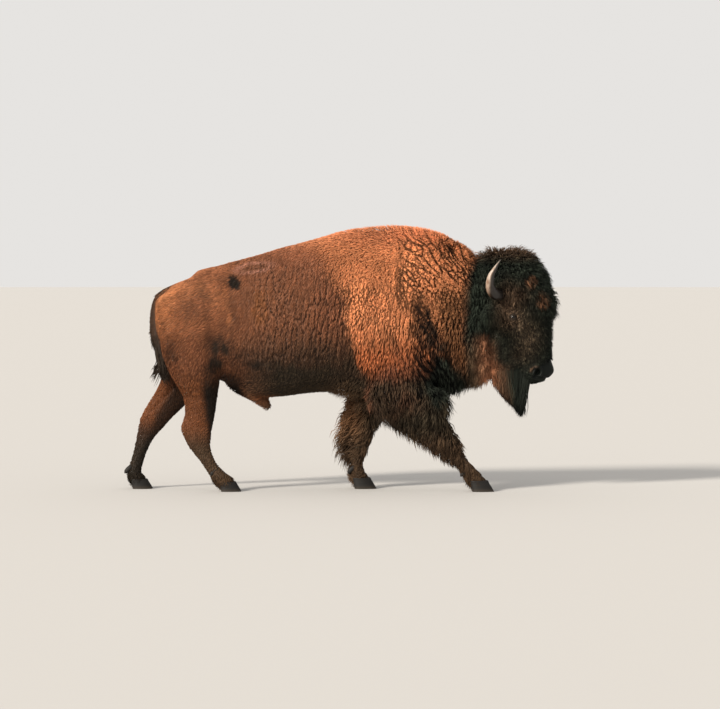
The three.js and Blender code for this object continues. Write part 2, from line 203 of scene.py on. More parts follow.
def loft(rows, hint, along=None, sides=48, steps=6):
    """A closed skin through rows [x, y, z, front, back, half, front power, back power], in mm.

    Each section is a superellipse square to the path. It reaches `front` along the hint, `back`
    against it and `half` to both sides; a power below 2 pinches that end towards a ridge.
    """
    rows = through(rows, steps)
    centre = rows[:, :3] * MM
    front, back, half, front_power, back_power = rows[:, 3:].T
    path = unit(np.gradient(centre, axis=0)) if along is None else np.tile(along, (len(centre), 1))
    up = unit(hint - path * (path @ hint)[:, None])
    side = np.cross(path, up)
    angle = TURN * np.arange(sides) / sides
    c, s = np.cos(angle)[None], np.sin(angle)[None]
    power = 2 / np.where(c > 0, front_power[:, None], back_power[:, None])
    reach = np.where(c > 0, front[:, None], back[:, None]) * MM
    a = reach * np.sign(c) * np.abs(c) ** power
    b = half[:, None] * MM * np.sign(s) * np.abs(s) ** power
    grid = centre[:, None] + up[:, None] * a[..., None] + side[:, None] * b[..., None]
    return closed(grid, centre[0], centre[-1])


def closed(grid, start, end):
    """Points and triangles of a tube of rings, closed by a fan at each end."""
    count, sides = grid.shape[:2]
    points = np.vstack([grid.reshape(-1, 3), start[None], end[None]])
    i, k = np.meshgrid(np.arange(count - 1), np.arange(sides), indexing="ij")
    a, b = i * sides + k, i * sides + (k + 1) % sides
    walls = [np.stack([a, b, b + sides], -1), np.stack([a, b + sides, a + sides], -1)]
    k = np.arange(sides)
    after = (k + 1) % sides
    first, last = count * sides, count * sides + 1
    caps = [
        np.stack([np.full(sides, first), after, k], -1),
        np.stack([np.full(sides, last), first - sides + k, first - sides + after], -1),
    ]
    return points, np.vstack([w.reshape(-1, 3) for w in walls + caps])


def ball(centre, radii, rings=16, sides=24):
    """An egg: circles of sin(angle) stacked at cos(angle), stretched to the radii in mm."""
    angle = math.pi * np.linspace(0.02, 0.98, rings)
    turn = TURN * np.arange(sides) / sides
    out, up = np.sin(angle)[:, None], np.cos(angle)[:, None]
    grid = np.stack([out * np.cos(turn), out * np.sin(turn), up + 0 * turn], -1)[::-1]
    place, radii = np.array(centre) * MM, np.array(radii) * MM
    return closed(place + grid * radii, place - radii * UP, place + radii * UP)


def joined(solids):
    """Several closed surfaces as one list of points and one of triangles."""
    starts = np.cumsum([0] + [len(points) for points, _ in solids])
    faces = [triangles + start for (_, triangles), start in zip(solids, starts)]
    return np.vstack([points for points, _ in solids]), np.vstack(faces)


def mesh_of(name, points, faces):
    """A smooth-shaded mesh from arrays of points and triangles."""
    mesh = bpy.data.meshes.new(name)
    mesh.vertices.add(len(points))
    mesh.vertices.foreach_set("co", np.ascontiguousarray(points, np.float32).ravel())
    mesh.loops.add(faces.size)
    mesh.loops.foreach_set("vertex_index", np.ascontiguousarray(faces, np.int32).ravel())
    mesh.polygons.add(len(faces))
    mesh.polygons.foreach_set("loop_start", np.arange(0, faces.size, 3, dtype=np.int32))
    mesh.update(calc_edges=True)
    mesh.polygons.foreach_set("use_smooth", np.ones(len(faces), bool))
    return mesh


def piece(mesh, *materials):
    """An object that shows this mesh in these materials."""
    made = bpy.data.objects.new(mesh.name, mesh)
    bpy.context.scene.collection.objects.link(made)
    for material in materials:
        mesh.materials.append(material)
    return made


def give_colour(mesh, name, colours):
    """Stores a linear colour for each point under this attribute name."""
    rgba = np.ones((len(colours), 4), np.float32)
    rgba[:, :3] = colours
    mesh.attributes.new(name, "FLOAT_COLOR", "POINT").data.foreach_set("color", rgba.ravel())


# ---- Flesh: the body under the coat ----
# [x, coat top, coat bottom, half width, height of the widest point, top power, bottom power]
TRUNK = np.array([
    [-1266, 1255, 1150, 50, 1210, 2, 2],
    [-1244, 1312, 1000, 140, 1190, 2, 2],
    [-1185, 1360, 900, 212, 1175, 2, 2],
    [-1085, 1408, 800, 258, 1165, 1.9, 2],
    [-1000, 1442, 765, 278, 1160, 1.8, 2],
    [-930, 1492, 745, 292, 1160, 1.75, 2],
    [-790, 1526, 735, 300, 1120, 1.8, 2],
    [-690, 1552, 690, 302, 1060, 1.8, 2.1],
    [-560, 1588, 630, 318, 1020, 1.8, 2.2],
    [-400, 1636, 630, 342, 985, 1.75, 2.2],
    [-200, 1690, 655, 362, 970, 1.7, 2.2],
    [0, 1750, 655, 366, 965, 1.65, 2.1],
    [150, 1780, 615, 362, 970, 1.62, 2],
    [310, 1790, 590, 356, 985, 1.6, 2],
    [450, 1780, 590, 344, 1005, 1.62, 2],
    [590, 1758, 600, 326, 1030, 1.66, 1.9],
    [710, 1718, 640, 302, 1060, 1.7, 1.9],
    [820, 1660, 672, 272, 1085, 1.7, 1.8],
    [920, 1592, 706, 246, 1095, 1.8, 1.8],
    [1000, 1520, 728, 215, 1100, 1.9, 1.8],
])
# How deep the coat is along the trunk: over the back, on the sides and under the keel.
DEPTH_X = [-1266, -900, -560, -200, 0, 150, 450, 800, 1000]
DEPTH_TOP = [8, 8, 9, 13, 22, 33, 42, 55, 84]
DEPTH_SIDE = [8, 8, 9, 11, 20, 32, 36, 50, 70]
DEPTH_KEEL = [9, 9, 10, 14, 26, 44, 70, 85, 90]


def trunk():
    x, top, bottom, half, widest, peak, keel = TRUNK.T
    top = top - np.interp(x, DEPTH_X, DEPTH_TOP)
    bottom = bottom + np.interp(x, DEPTH_X, DEPTH_KEEL)
    half = half - np.interp(x, DEPTH_X, DEPTH_SIDE)
    rows = np.stack([x, 0 * x, widest, top - widest, widest - bottom, half, peak, keel], -1)
    return loft(rows, UP, AHEAD, sides=96, steps=8)


# [z, front of the face, back of the head, half width, depth of the widest point, face, nape]
SKULL = np.array([
    [1538, 1180, 1000, 50, 60, 2, 2],
    [1512, 1245, 960, 110, 110, 2, 2],
    [1440, 1305, 955, 150, 150, 2.3, 2],
    [1350, 1345, 945, 166, 170, 2.5, 2],
    [1270, 1368, 945, 172, 190, 2.6, 2],
    [1200, 1378, 950, 174, 200, 2.5, 2],
    [1140, 1386, 960, 160, 200, 2.4, 2],
    [1070, 1392, 975, 140, 195, 2.4, 1.9],
    [990, 1402, 1000, 118, 190, 2.4, 1.8],
    [910, 1414, 1060, 98, 170, 2.4, 1.8],
    [850, 1434, 1130, 94, 140, 2.5, 2],
    [804, 1446, 1180, 94, 130, 2.6, 2.2],
    [770, 1420, 1205, 84, 120, 2.4, 2.2],
    [742, 1368, 1225, 62, 90, 2.2, 2.2],
    [724, 1322, 1246, 34, 60, 2, 2],
])


def skull():
    z, front, back, half, depth, face, nape = SKULL.T
    rows = np.stack([front - depth, 0 * z, z, depth, front - depth - back, half, face, nape], -1)
    return loft(rows, AHEAD, DOWN, sides=64, steps=6)


# Round masses of the head: [centre], [radii], made on both sides where the centre is off the middle.
HEAD_MASSES = [
    ([1150, 146, 1182], [74, 48, 62]),  # the bony ring round the eye
    ([1120, 135, 1345], [64, 66, 62]),  # the root of the horn
    ([1085, 90, 1010], [120, 52, 150]),  # the cheek muscle
    ([1120, 60, 870], [110, 50, 80]),  # the jaw
    ([1352, 40, 800], [76, 62, 58]),  # the muzzle's pad
    ([1276, 0, 750], [58, 60, 28]),  # the chin
]

# Legs: [x, y, z, front, back, half, front power, back power], from inside the body to the hoof.
LEG_ROWS = {
    "hind_right": [
        [-985, -120, 1190, 202, 197, 112, 2, 2],
        [-992, -150, 1060, 232, 217, 124, 2, 2],
        [-975, -158, 900, 192, 197, 110, 2, 2],
        [-948, -155, 760, 150, 152, 90, 2, 2],
        [-936, -150, 650, 114, 116, 69, 2, 2],
        [-945, -146, 530, 106, 98, 54, 2, 1.8],
        [-966, -143, 420, 106, 90, 47, 2.1, 1.6],
        [-950, -141, 335, 88, 74, 44, 2.2, 1.7],
        [-915, -139, 258, 54, 50, 35, 2, 2],
        [-862, -137, 170, 38, 42, 32, 2, 2],
        [-806, -135, 100, 42, 50, 44, 2, 2],
        [-765, -134, 64, 44, 46, 48, 2, 2],
        [-745, -134, 44, 38, 38, 44, 2, 2],
    ],
    "hind_left": [
        [-985, 120, 1190, 202, 197, 112, 2, 2],
        [-1000, 150, 1040, 227, 214, 122, 2, 2],
        [-1030, 158, 890, 187, 172, 108, 2, 2],
        [-1085, 155, 750, 160, 127, 86, 2, 2],
        [-1155, 150, 640, 122, 94, 65, 2, 2],
        [-1230, 146, 540, 102, 84, 50, 2, 1.8],
        [-1283, 143, 452, 86, 80, 43, 2.1, 1.6],
        [-1320, 141, 365, 56, 60, 39, 2.1, 1.8],
        [-1352, 139, 270, 40, 46, 33, 2, 2],
        [-1380, 137, 180, 38, 42, 32, 2, 2],
        [-1398, 136, 110, 42, 50, 43, 2, 2],
        [-1378, 135, 68, 44, 44, 48, 2, 2],
        [-1362, 135, 44, 38, 38, 44, 2, 2],
    ],
    "fore_right": [
        [400, -160, 1120, 150, 160, 95, 2, 2],
        [400, -190, 960, 190, 185, 120, 2, 2],
        [415, -200, 800, 190, 200, 118, 2, 2],
        [450, -196, 680, 150, 180, 100, 2, 2],
        [530, -184, 550, 98, 112, 74, 2, 2],
        [622, -174, 440, 70, 76, 55, 2, 2],
        [705, -166, 345, 52, 58, 46, 2.2, 2],
        [748, -160, 290, 50, 52, 46, 2.3, 2],
        [780, -156, 248, 38, 44, 38, 2, 2],
        [826, -150, 190, 33, 38, 32, 2, 2],
        [872, -144, 130, 40, 48, 42, 2, 2],
        [912, -141, 86, 44, 46, 48, 2, 2],
        [940, -140, 52, 40, 40, 46, 2, 2],
    ],
    "fore_left": [
        [330, 160, 1120, 150, 160, 95, 2, 2],
        [310, 190, 960, 180, 180, 120, 2, 2],
        [285, 200, 800, 170, 185, 118, 2, 2],
        [250, 194, 680, 130, 150, 98, 2, 2],
        [205, 182, 550, 92, 100, 72, 2, 2],
        [175, 174, 440, 66, 72, 54, 2, 2],
        [150, 164, 330, 50, 56, 46, 2.2, 2],
        [140, 160, 285, 50, 50, 46, 2.3, 2],
        [130, 156, 240, 38, 44, 38, 2, 2],
        [120, 150, 180, 33, 38, 32, 2, 2],
        [118, 144, 124, 40, 48, 42, 2, 2],
        [134, 141, 86, 44, 46, 48, 2, 2],
        [152, 140, 52, 40, 40, 46, 2, 2],
    ],
}
TAIL_ROWS = [
    [-1150, 0, 1322, 24, 24, 28],
    [-1205, 0, 1306, 24, 22, 30],
    [-1244, 0, 1262, 19, 19, 25],
    [-1262, 0, 1190, 16, 15, 18],
    [-1262, 0, 1110, 17, 15, 16],
    [-1246, 0, 1010, 28, 18, 18],
    [-1230, 0, 930, 38, 24, 20],
    [-1214, 0, 860, 42, 26, 18],
    [-1204, 0, 806, 20, 14, 10],
]
EAR_ROWS = [
    [1052, 135, 1215, 24, 22, 16],
    [1027, 190, 1212, 32, 28, 15],
    [1004, 240, 1204, 40, 36, 14],
    [982, 285, 1193, 34, 30, 12],
    [964, 318, 1184, 10, 10, 7],
]
SHEATH_ROWS = [
    [-790, 0, 850, 40, 70, 60],
    [-700, 0, 770, 50, 84, 58],
    [-620, 0, 708, 60, 80, 56],
    [-555, 0, 645, 54, 55, 46],
    [-502, 0, 588, 32, 36, 28],
    [-476, 0, 546, 12, 16, 12],
]
SCROTUM_ROWS = [
    [-905, 0, 805, 44, 44, 44],
    [-905, 0, 740, 50, 46, 50],
    [-902, 0, 692, 48, 46, 52],
    [-898, 0, 656, 32, 32, 36],
    [-896, 0, 640, 10, 10, 12],
]


def round_rows(rows, side=1):
    """Rows given without powers, as ellipses, with y taken to one side."""
    rows = np.array(rows, float)
    rows[:, 1] *= side
    return np.hstack([rows, np.full((len(rows), 2), 2.0)])


def flesh_solids():
    """Every mass of the body as a closed surface of its own; they overlap where they join."""
    solids = [trunk(), skull(), loft(round_rows(TAIL_ROWS), AHEAD, steps=8)]
    solids += [loft(rows, AHEAD) for rows in LEG_ROWS.values()]
    solids += [loft(round_rows(rows), AHEAD, DOWN if rows is SCROTUM_ROWS else None)
               for rows in (SHEATH_ROWS, SCROTUM_ROWS)]
    for side, _ in SIDES:
        solids.append(loft(round_rows(EAR_ROWS, side), UP, sides=32))
        for (x, y, z), radii in HEAD_MASSES:
            if y or side == RIGHT:
                solids.append(ball((x, side * y, z), radii))
    return solids


def unrolled(q):
    """The trunk's side rolled flat: x, and the way round an axis 1.1 m up, growing upwards; the two
    sides lie apart, so that they differ."""
    way_round = np.abs(np.arctan2(q[:, 1], q[:, 2] - 1.1))
    return np.stack([q[:, 0], -0.5 * way_round + 8 * (q[:, 1] > 0)], -1)


def cracks(q, size, seed, lean, width, sway=0.13):
    """1 on lines `width` mm wide that part the unrolled coat into cells of `size` mm, leaned over.

    The lines are the borders between scattered centres: half the difference of a point's squared
    distances to its two nearest centres, over how fast that difference grows. Noise bends them by
    `sway` of the cells' length. Also gives a number of each cell's own.
    """
    bend = np.stack([noise(q, 70, seed + 6), noise(q, 70, seed + 7)], -1)
    c, s = math.cos(lean), math.sin(lean)
    scale = np.array(size) * MM
    p = (unrolled(q) + sway * MM * max(size) * bend) @ np.array([[c, s], [-s, c]]) / scale + 4096
    to_first, to_second, first, second, own = nearest_centres(p, seed)
    grows = np.linalg.norm((to_first - to_second) / scale, axis=-1)
    distance = (second - first) / 2 / np.maximum(grows, 1e-6)
    return ramp(distance, 0.5 * width * MM, 0.2 * width * MM), own


def wrinkles(q):
    """Creases in the loose hide over the ribs, 1 in a crease and 0 between: the borders of tall cells."""
    x, z = q[:, 0], q[:, 2]
    deep, _ = cracks(q, (38, 260), 101, 0.06, 18, 0.035)
    finer, _ = cracks(q, (26, 120), 111, 0.10, 12, 0.06)
    there = ramp(x, -0.74, -0.48) * ramp(x, 0.30, 0.05) * ramp(z, 0.74, 0.92) * ramp(z, 1.62, 1.44)
    fade = 0.45 * (1 + noise(q, 90, 104))
    return there * np.maximum(deep * (0.95 + 0.3 * noise(q, 120, 103)), fade * finer).clip(0, 1)


# Soft swellings and hollows of the hide: [centre], [radii], height in mm, both sides.
RELIEF = [
    ([-800, 225, 1420], [58, 60, 56], 25),  # the point of the hip
    ([-716, 262, 1405], [38, 60, 56], -28),  # the hollow ahead of it
    ([-640, 200, 1490], [90, 60, 50], 6),  # the loin's edge
    ([-1175, 170, 1270], [60, 60, 70], 10),  # the seat bone
    ([-1000, 270, 1180], [120, 80, 150], 10),  # the thigh's outer muscle
    ([-1090, 240, 980], [50, 60, 150], -9),  # the furrow behind it
    ([-838, 280, 1000], [58, 70, 130], -26),  # the fold of the flank
    ([-760, 290, 900], [60, 70, 90], 12),  # the skin fold from the flank to the thigh
    ([-930, 200, 640], [50, 60, 90], 7),  # the shin's muscle
    ([-1022, 190, 520], [26, 50, 100], -16),  # the furrow ahead of the hamstring
    ([-1052, 150, 425], [34, 50, 40], 13),  # the point of the hock
    ([-560, 330, 1000], [120, 80, 200], 8),  # the belly's side
    ([430, 330, 820], [150, 80, 120], 8),  # the elbow
    ([725, 240, 770], [80, 110, 110], -34),  # the armpit
    ([722, 60, 625], [80, 120, 62], 70),  # the brisket
    ([790, 40, 660], [72, 120, 76], 86),  # its front
    ([592, 170, 592], [78, 110, 88], 74),  # the front of the upper arm
    ([1235, 50, 1490], [60, 90, 60], 24),  # the brow of the mop
    ([285, 280, 645], [85, 90, 90], 34),  # the tuft on the elbow
]


# The tendon of the far hind leg, with a furrow ahead of it: a place on it, across it and along it.
TENDON = np.array([-1.205, 0, 0.610])
ACROSS_TENDON, ALONG_TENDON = np.array([0.74, 0, -0.67]), np.array([0.67, 0, 0.74])


def relief(q):
    """How far the hide stands out at each point, in metres: the sum of its swellings, less the
    furrow by the tendon, the sides of the tail and the wrinkles, with a faint unevenness."""
    m = both_sides(q)
    x, y, z = m.T
    total = np.zeros(len(q))
    for centre, radii, height in RELIEF:
        total += blob(m, centre, radii) * height * MM
    across, along = (m - TENDON) @ ACROSS_TENDON, (m - TENDON) @ ALONG_TENDON
    furrow = bell(across, 0.014) * ramp(np.abs(along), 0.15, 0.08) * ramp(x, -1.05, -1.10)
    # the rump falls away on both sides of the tail
    beside = ramp(y, 0.014, 0.032) * ramp(y, 0.22, 0.08)
    beside = beside * ramp(x, -1.10, -1.20) * ramp(z, 0.92, 1.02) * ramp(z, 1.50, 1.38)
    total -= (9 * furrow + 26 * beside + 9 * wrinkles(q)) * MM
    trunk_only = ramp(z, 0.55, 0.75) * ramp(x, 0.95, 0.8)
    return total + trunk_only * 3.5 * MM * noise(q, 120, 7)


# ---- The face ----
NOSTRIL = (1330, 84, 794)
# Small swellings and hollows: [height, centre, radii], in mm.
FACE_FORMS = [
    (9, (1300, 88, 800), (14, 40, 34)),  # the wing behind the nostril
    (7, (1316, 88, 840), (34, 40, 14)),  # the wing over it
    (-5, (1304, 92, 862), (34, 40, 9)),  # the crease above the wing
    (-9, (1250, 150, 1060), (70, 60, 45)),  # the hollow along the cheek bone
    (-7, (1270, 100, 850), (40, 50, 50)),  # the hollow behind the nostril
]


def nose_pad(q):
    """The bare leather of the muzzle: 1 ahead of a line from the bridge of the nose, round behind
    the nostril and down to the lip."""
    x, z = q[:, 0], q[:, 2]
    above = z - (0.812 + 0.55 * (x - 1.283))
    behind = 1.290 + 0.10 * np.abs(z - 0.79) - x
    return ramp(np.maximum(above, behind), 0.010, -0.012) * ramp(z, 0.742, 0.755)


def face_relief(q):
    """How far the fine forms of the face stand out at each point, in metres.

    Wrinkles fan round the eye, a comma-shaped nostril sinks in with a raised rim, and the mouth is
    a groove from the lip's front back along the jaw, with full lips above and below.
    """
    m = both_sides(q)
    x, y, z = m.T / MM
    # nostril: an ellipse leaned forward, bent to a comma
    dx, dz, lean = x - NOSTRIL[0], z - NOSTRIL[2], math.radians(28)
    along = (dx * math.sin(lean) + dz * math.cos(lean)) / 34
    across = (dx * math.cos(lean) - dz * math.sin(lean) + 10 * along**2) / 19
    r = np.hypot(along, across)
    total = ramp(y, 35, 60) * (-26 * ramp(r, 1.0, 0.35) + 7 * bell(r - 1.35, 0.28))
    # mouth: the height above the line of the lips
    d = z - (763 + 28 * ramp(x, 1360, 1160) - 12 * ramp(x, 1360, 1410))
    on = ramp(x, 1150, 1190) * (1 - 0.45 * ramp(x, 1320, 1380))
    total += on * (-11 * bell(d, 5.5) + 5 * bell(d + 16, 11) + 4 * bell(d - 18, 12))
    # the groove down the middle of the nose and upper lip
    total -= 6 * bell(y, 6) * ramp(x, 1370, 1400) * ramp(z, 840, 810)
    total += spots(m, FACE_FORMS)
    # folds over and under the eye
    ring = np.hypot(x - EYE_X / MM, (z - EYE_Z / MM) * 1.15)
    total += 2.6 * bell(ring - 46, 26) * ramp(y, 100, 140) * np.cos(TURN * ring / 15)
    return total * MM


def close_lids(q):
    """Wraps the hide round the eyeball: it lies just over the ball outside an almond-shaped slit
    and drops behind the ball inside the slit, so that its edge makes the lids."""
    dx, dz, tilt = q[:, 0] - EYE_X, q[:, 2] - EYE_Z, math.radians(12)
    a = dx * math.cos(tilt) + dz * math.sin(tilt)
    b = -dx * math.sin(tilt) + dz * math.cos(tilt)
    d = np.hypot(dx, dz)
    slit_long, slit_half = 19.5 * MM, np.where(b > 0, 11.5, 9.5) * MM
    in_slit = (np.abs(b) < slit_half * np.clip(1 - (a / slit_long) ** 2, 0, 1)) & (np.abs(a) < slit_long)
    cover = EYE_Y + np.sqrt(np.clip((EYE_RADIUS + 3.2 * MM) ** 2 - d**2, 0, None))
    behind = EYE_Y + np.sqrt(np.clip((EYE_RADIUS - 5 * MM) ** 2 - d**2, 0, None)) - 1 * MM
    y = np.abs(q[:, 1])
    y = y + (np.maximum(cover, EYE_Y - 2 * MM) - y) * ramp(d, 34 * MM, 23.5 * MM)
    y = np.where(in_slit, np.minimum(behind, y), y)
    moved = q.copy()
    moved[:, 1] = np.where(near_eye(q, 34 * MM), np.sign(q[:, 1]) * y, q[:, 1])
    return moved


# ---- Skin ----
VOXEL = 11.5 * MM


def with_modifier(obj, kind, **settings):
    """Puts a modifier on the object, takes the mesh it makes, and leaves the object plain."""
    modifier = obj.modifiers.new("work", kind)
    for name, value in settings.items():
        setattr(modifier, name, value)
    made = bpy.data.meshes.new_from_object(obj.evaluated_get(bpy.context.evaluated_depsgraph_get()))
    obj.modifiers.clear()
    old, obj.data = obj.data, made
    bpy.data.meshes.remove(old)


def points_of(mesh):
    co = np.empty(len(mesh.vertices) * 3)
    mesh.vertices.foreach_get("co", co)
    return co.reshape(-1, 3)


def normals_of(mesh):
    no = np.empty(len(mesh.vertices) * 3, np.float32)
    mesh.vertex_normals.foreach_get("vector", no)
    return no.reshape(-1, 3).astype(float)


def set_points(mesh, points):
    mesh.vertices.foreach_set("co", np.ascontiguousarray(points, np.float32).ravel())
    mesh.update()


def refine(obj, chosen):
    """Halves every edge that lies wholly where `chosen` is true."""
    mesh = obj.data
    picked = chosen(points_of(mesh) - ZERO)
    form = bmesh.new()
    form.from_mesh(mesh)
    edges = [e for e in form.edges if picked[e.verts[0].index] and picked[e.verts[1].index]]
    bmesh.ops.subdivide_edges(form, edges=edges, cuts=1, use_grid_fill=True)
    form.to_mesh(mesh)
    form.free()
    mesh.update()


def near_eye(q, reach):
    return (np.hypot(q[:, 0] - EYE_X, q[:, 2] - EYE_Z) < reach) & (np.abs(q[:, 1]) > 0.1)


def on_muzzle(q):
    return (q[:, 0] > 1.2) & (q[:, 2] < 0.885) & (q[:, 2] > 0.6)


def make_skin():
    points, faces = joined(flesh_solids())
    skin = piece(mesh_of("skin", points + ZERO, faces))
    with_modifier(skin, "REMESH", mode="VOXEL", voxel_size=VOXEL, use_smooth_shade=True)
    with_modifier(skin, "SMOOTH", factor=0.5, iterations=6)
    mesh = skin.data
    q = points_of(mesh) - ZERO
    set_points(mesh, points_of(mesh) + normals_of(mesh) * relief(q)[:, None])
    refine(skin, on_muzzle)
    for reach in (62 * MM, 40 * MM, 27 * MM):
        refine(skin, lambda q: near_eye(q, reach))
    with_modifier(skin, "SMOOTH", factor=0.5, iterations=2)
    mesh = skin.data
    q = points_of(mesh) - ZERO
    q[:, 1] *= 1 - 0.30 * ramp(q[:, 0], 1.315, 1.44) * ramp(q[:, 2], 0.90, 0.84)
    q = q + normals_of(mesh) * face_relief(q)[:, None]
    set_points(mesh, close_lids(q) + ZERO)
    with_modifier(skin, "TRIANGULATE")
    skin.data.name = "skin"
    skin.data.polygons.foreach_set("use_smooth", np.ones(len(skin.data.polygons), bool))
    return skin


# ---- Markings: one recipe of colours for the hide and every lock that grows on it ----
PALETTE = {name: linear(value) for name, value in {
    "cape": "#c98358",
    "cape_crown": "#bb7550",
    "cape_low": "#aa5b33",
    "flank": "#8f5b3e",
    "back": "#9d6345",
    "rump": "#8f5a3d",
    # ochre coat, also used as painted light on the rump's rear edge and down a ridge below the hip
    "ochre": "#c37f53",
    "amber": "#a2653a",
    "belly": "#3a2f22",
    "dark": "#251f17",
    "mane": "#65523f",
    "head": "#293027",
    "frizz": "#765e4a",
    "rust": "#7c553c",
    "cheek": "#9c6a4d",
    "chaps": "#3f3628",
    # the far foreleg's skirt, paler as painted light where the sun shines through it
    "elbow": "#986e4d",
    "leg": "#7d4b2c",
    "shin": "#594431",
    "nose": "#101510",
    "tail": "#49362a",
    "scar": "#c98d76",
    "shadow": "#131510",
    # painted shade in the armpit
    "armpit": "#2b3027",
    # browner curls on the cape's front, in painted shade
    "curls": "#a06c46",
    "lobe": "#7d4d37",
}.items()}

# Where the orange cape begins, and where the dark mane begins ahead of it: [height, x], in mm.
CAPE_EDGE = [
    [700, 225], [776, 185], [857, 128], [1000, 90], [1150, 52], [1280, 35], [1400, 0], [1573, -90],
    [1700, -260], [1800, -420],
]
CAPE_EDGE_SOFT = [[1000, 26], [1250, 45], [1700, 230]]
MANE_EDGE = [[700, 900], [850, 862], [1012, 836], [1283, 846], [1450, 874], [1550, 925], [1650, 980]]
# Soft spots of colour: [share, centre, radii]. Ochre on the rump and thigh; the spot on the rump's rear
# edge is also painted light.
OCHRE_AND_LIT_SPOTS = [
    (1.5, (-1180, 170, 1170), (95, 240, 190)), (0.42, (-1010, 280, 1120), (90, 240, 90)),
    (0.5, (-980, 200, 1370), (150, 240, 80)), (0.35, (-830, 250, 1250), (60, 240, 110)),
]
# Painted shade in the folds and furrows of the flank, thigh and rump: [share, centre, radii].
FOLD_SHADE_SPOTS = [
    (0.85, (-806, 290, 955), (90, 300, 130)), (0.5, (-700, 290, 900), (60, 300, 60)),
    (0.75, (-838, 290, 850), (48, 300, 120)), (0.7, (-575, 300, 850), (75, 300, 45)),
    (0.4, (-712, 290, 1190), (30, 300, 130)), (0.45, (-1215, 130, 1245), (40, 300, 40)),
    (0.35, (-1010, 260, 1215), (60, 300, 60)), (0.8, (-1125, 150, 930), (55, 300, 100)),
    (0.5, (-905, 290, 1330), (40, 300, 90)),
]
# Outlines in x-z, in mm: the hollow ahead of the hip, painted with the shadow of the point of the hip, and
# the armpit, painted in shade.
HIP_HOLLOW = [(-722, 1464), (-754, 1470), (-755, 1380), (-732, 1352), (-668, 1350), (-664, 1398)]
ARMPIT = [(650, 905), (560, 690), (650, 540), (725, 565), (835, 690), (735, 885)]


def edge_at(rows, z):
    """An outline's x at each height, in metres."""
    return np.interp(z / MM, *np.transpose(rows)) * MM


def on_head(q):
    """How far a point belongs to the head: it lies ahead of the plane behind the horns."""
    return ramp(q[:, 0] + 0.1 * (q[:, 2] - 1.1), 0.95, 1.0)


def wedge(q):
    """How far a place lies in the wedge of painted shade that widens down the cape to the armpit."""
    x, z = q[:, 0], q[:, 2]
    down = np.clip((1.30 - z) / 0.45, 0, 1.2)
    from_middle = np.abs(x - 0.520 - 0.10 * down + 0.020 * noise(q, (50, 300, 90), 25))
    return ramp(from_middle / (0.045 + 0.10 * down), 1.25, 0.6) * ramp(z, 1.36, 1.22)


def clear_of_eye(q, near, far):
    """0 at the eye and 1 away from it, so that no hair falls over it."""
    return ramp(np.hypot(q[:, 0] - EYE_X, q[:, 2] - EYE_Z - 0.01), near, far)


def frizz(q):
    """The paler frizz round the eye, up to the root of the horn, and on the cheek."""
    return np.clip(spots(both_sides(q), [
        (1, (1138, 180, 1160), (95, 300, 90)), (0.9, (1118, 200, 1290), (50, 300, 90)),
        (0.55, (1270, 150, 1020), (90, 300, 120)), (0.3, (1200, 150, 900), (90, 300, 80)),
    ]), 0, 1)


def past_cape_edge(q, softness=1.0):
    """0 behind the cape's rear edge and 1 ahead of it; the edge is soft, more so over the back."""
    edge, soft = edge_at(CAPE_EDGE, q[:, 2]), softness * edge_at(CAPE_EDGE_SOFT, q[:, 2])
    wave = 0.024 * noise(q, (90, 400, 160), 21) + 0.014 * noise(q, (30, 300, 80), 22)
    return ramp(q[:, 0] + wave, edge - soft, edge + soft)


def cape_share(q):
    """The orange cape: from its rear edge to the mane, above the elbow and the armpit."""
    x, z = q[:, 0], q[:, 2]
    wave = 0.022 * noise(q, (60, 400, 120), 24)
    mane = edge_at(MANE_EDGE, z)
    front = ramp(x + wave, mane + 0.02, mane - 0.05)
    low = ramp(z + wave - 0.08 * ramp(x, 0.30, 0.62), 0.63, 0.82)
    return past_cape_edge(q) * front * low


def shifted(q, size, seeds, far):
    """Vectors in x and z that wave the borders of a marking: noise of two seeds, `far` long."""
    along, up = (reach * noise(q, size, seed) for reach, seed in zip(np.broadcast_to(far, 2), seeds))
    return np.stack([along, 0 * along, up], -1)


def painted(colour, *layers):
    """Colours laid over the first one after another, each with the share it covers."""
    for paint, share in layers:
        colour = blend(colour, paint, share)
    return colour


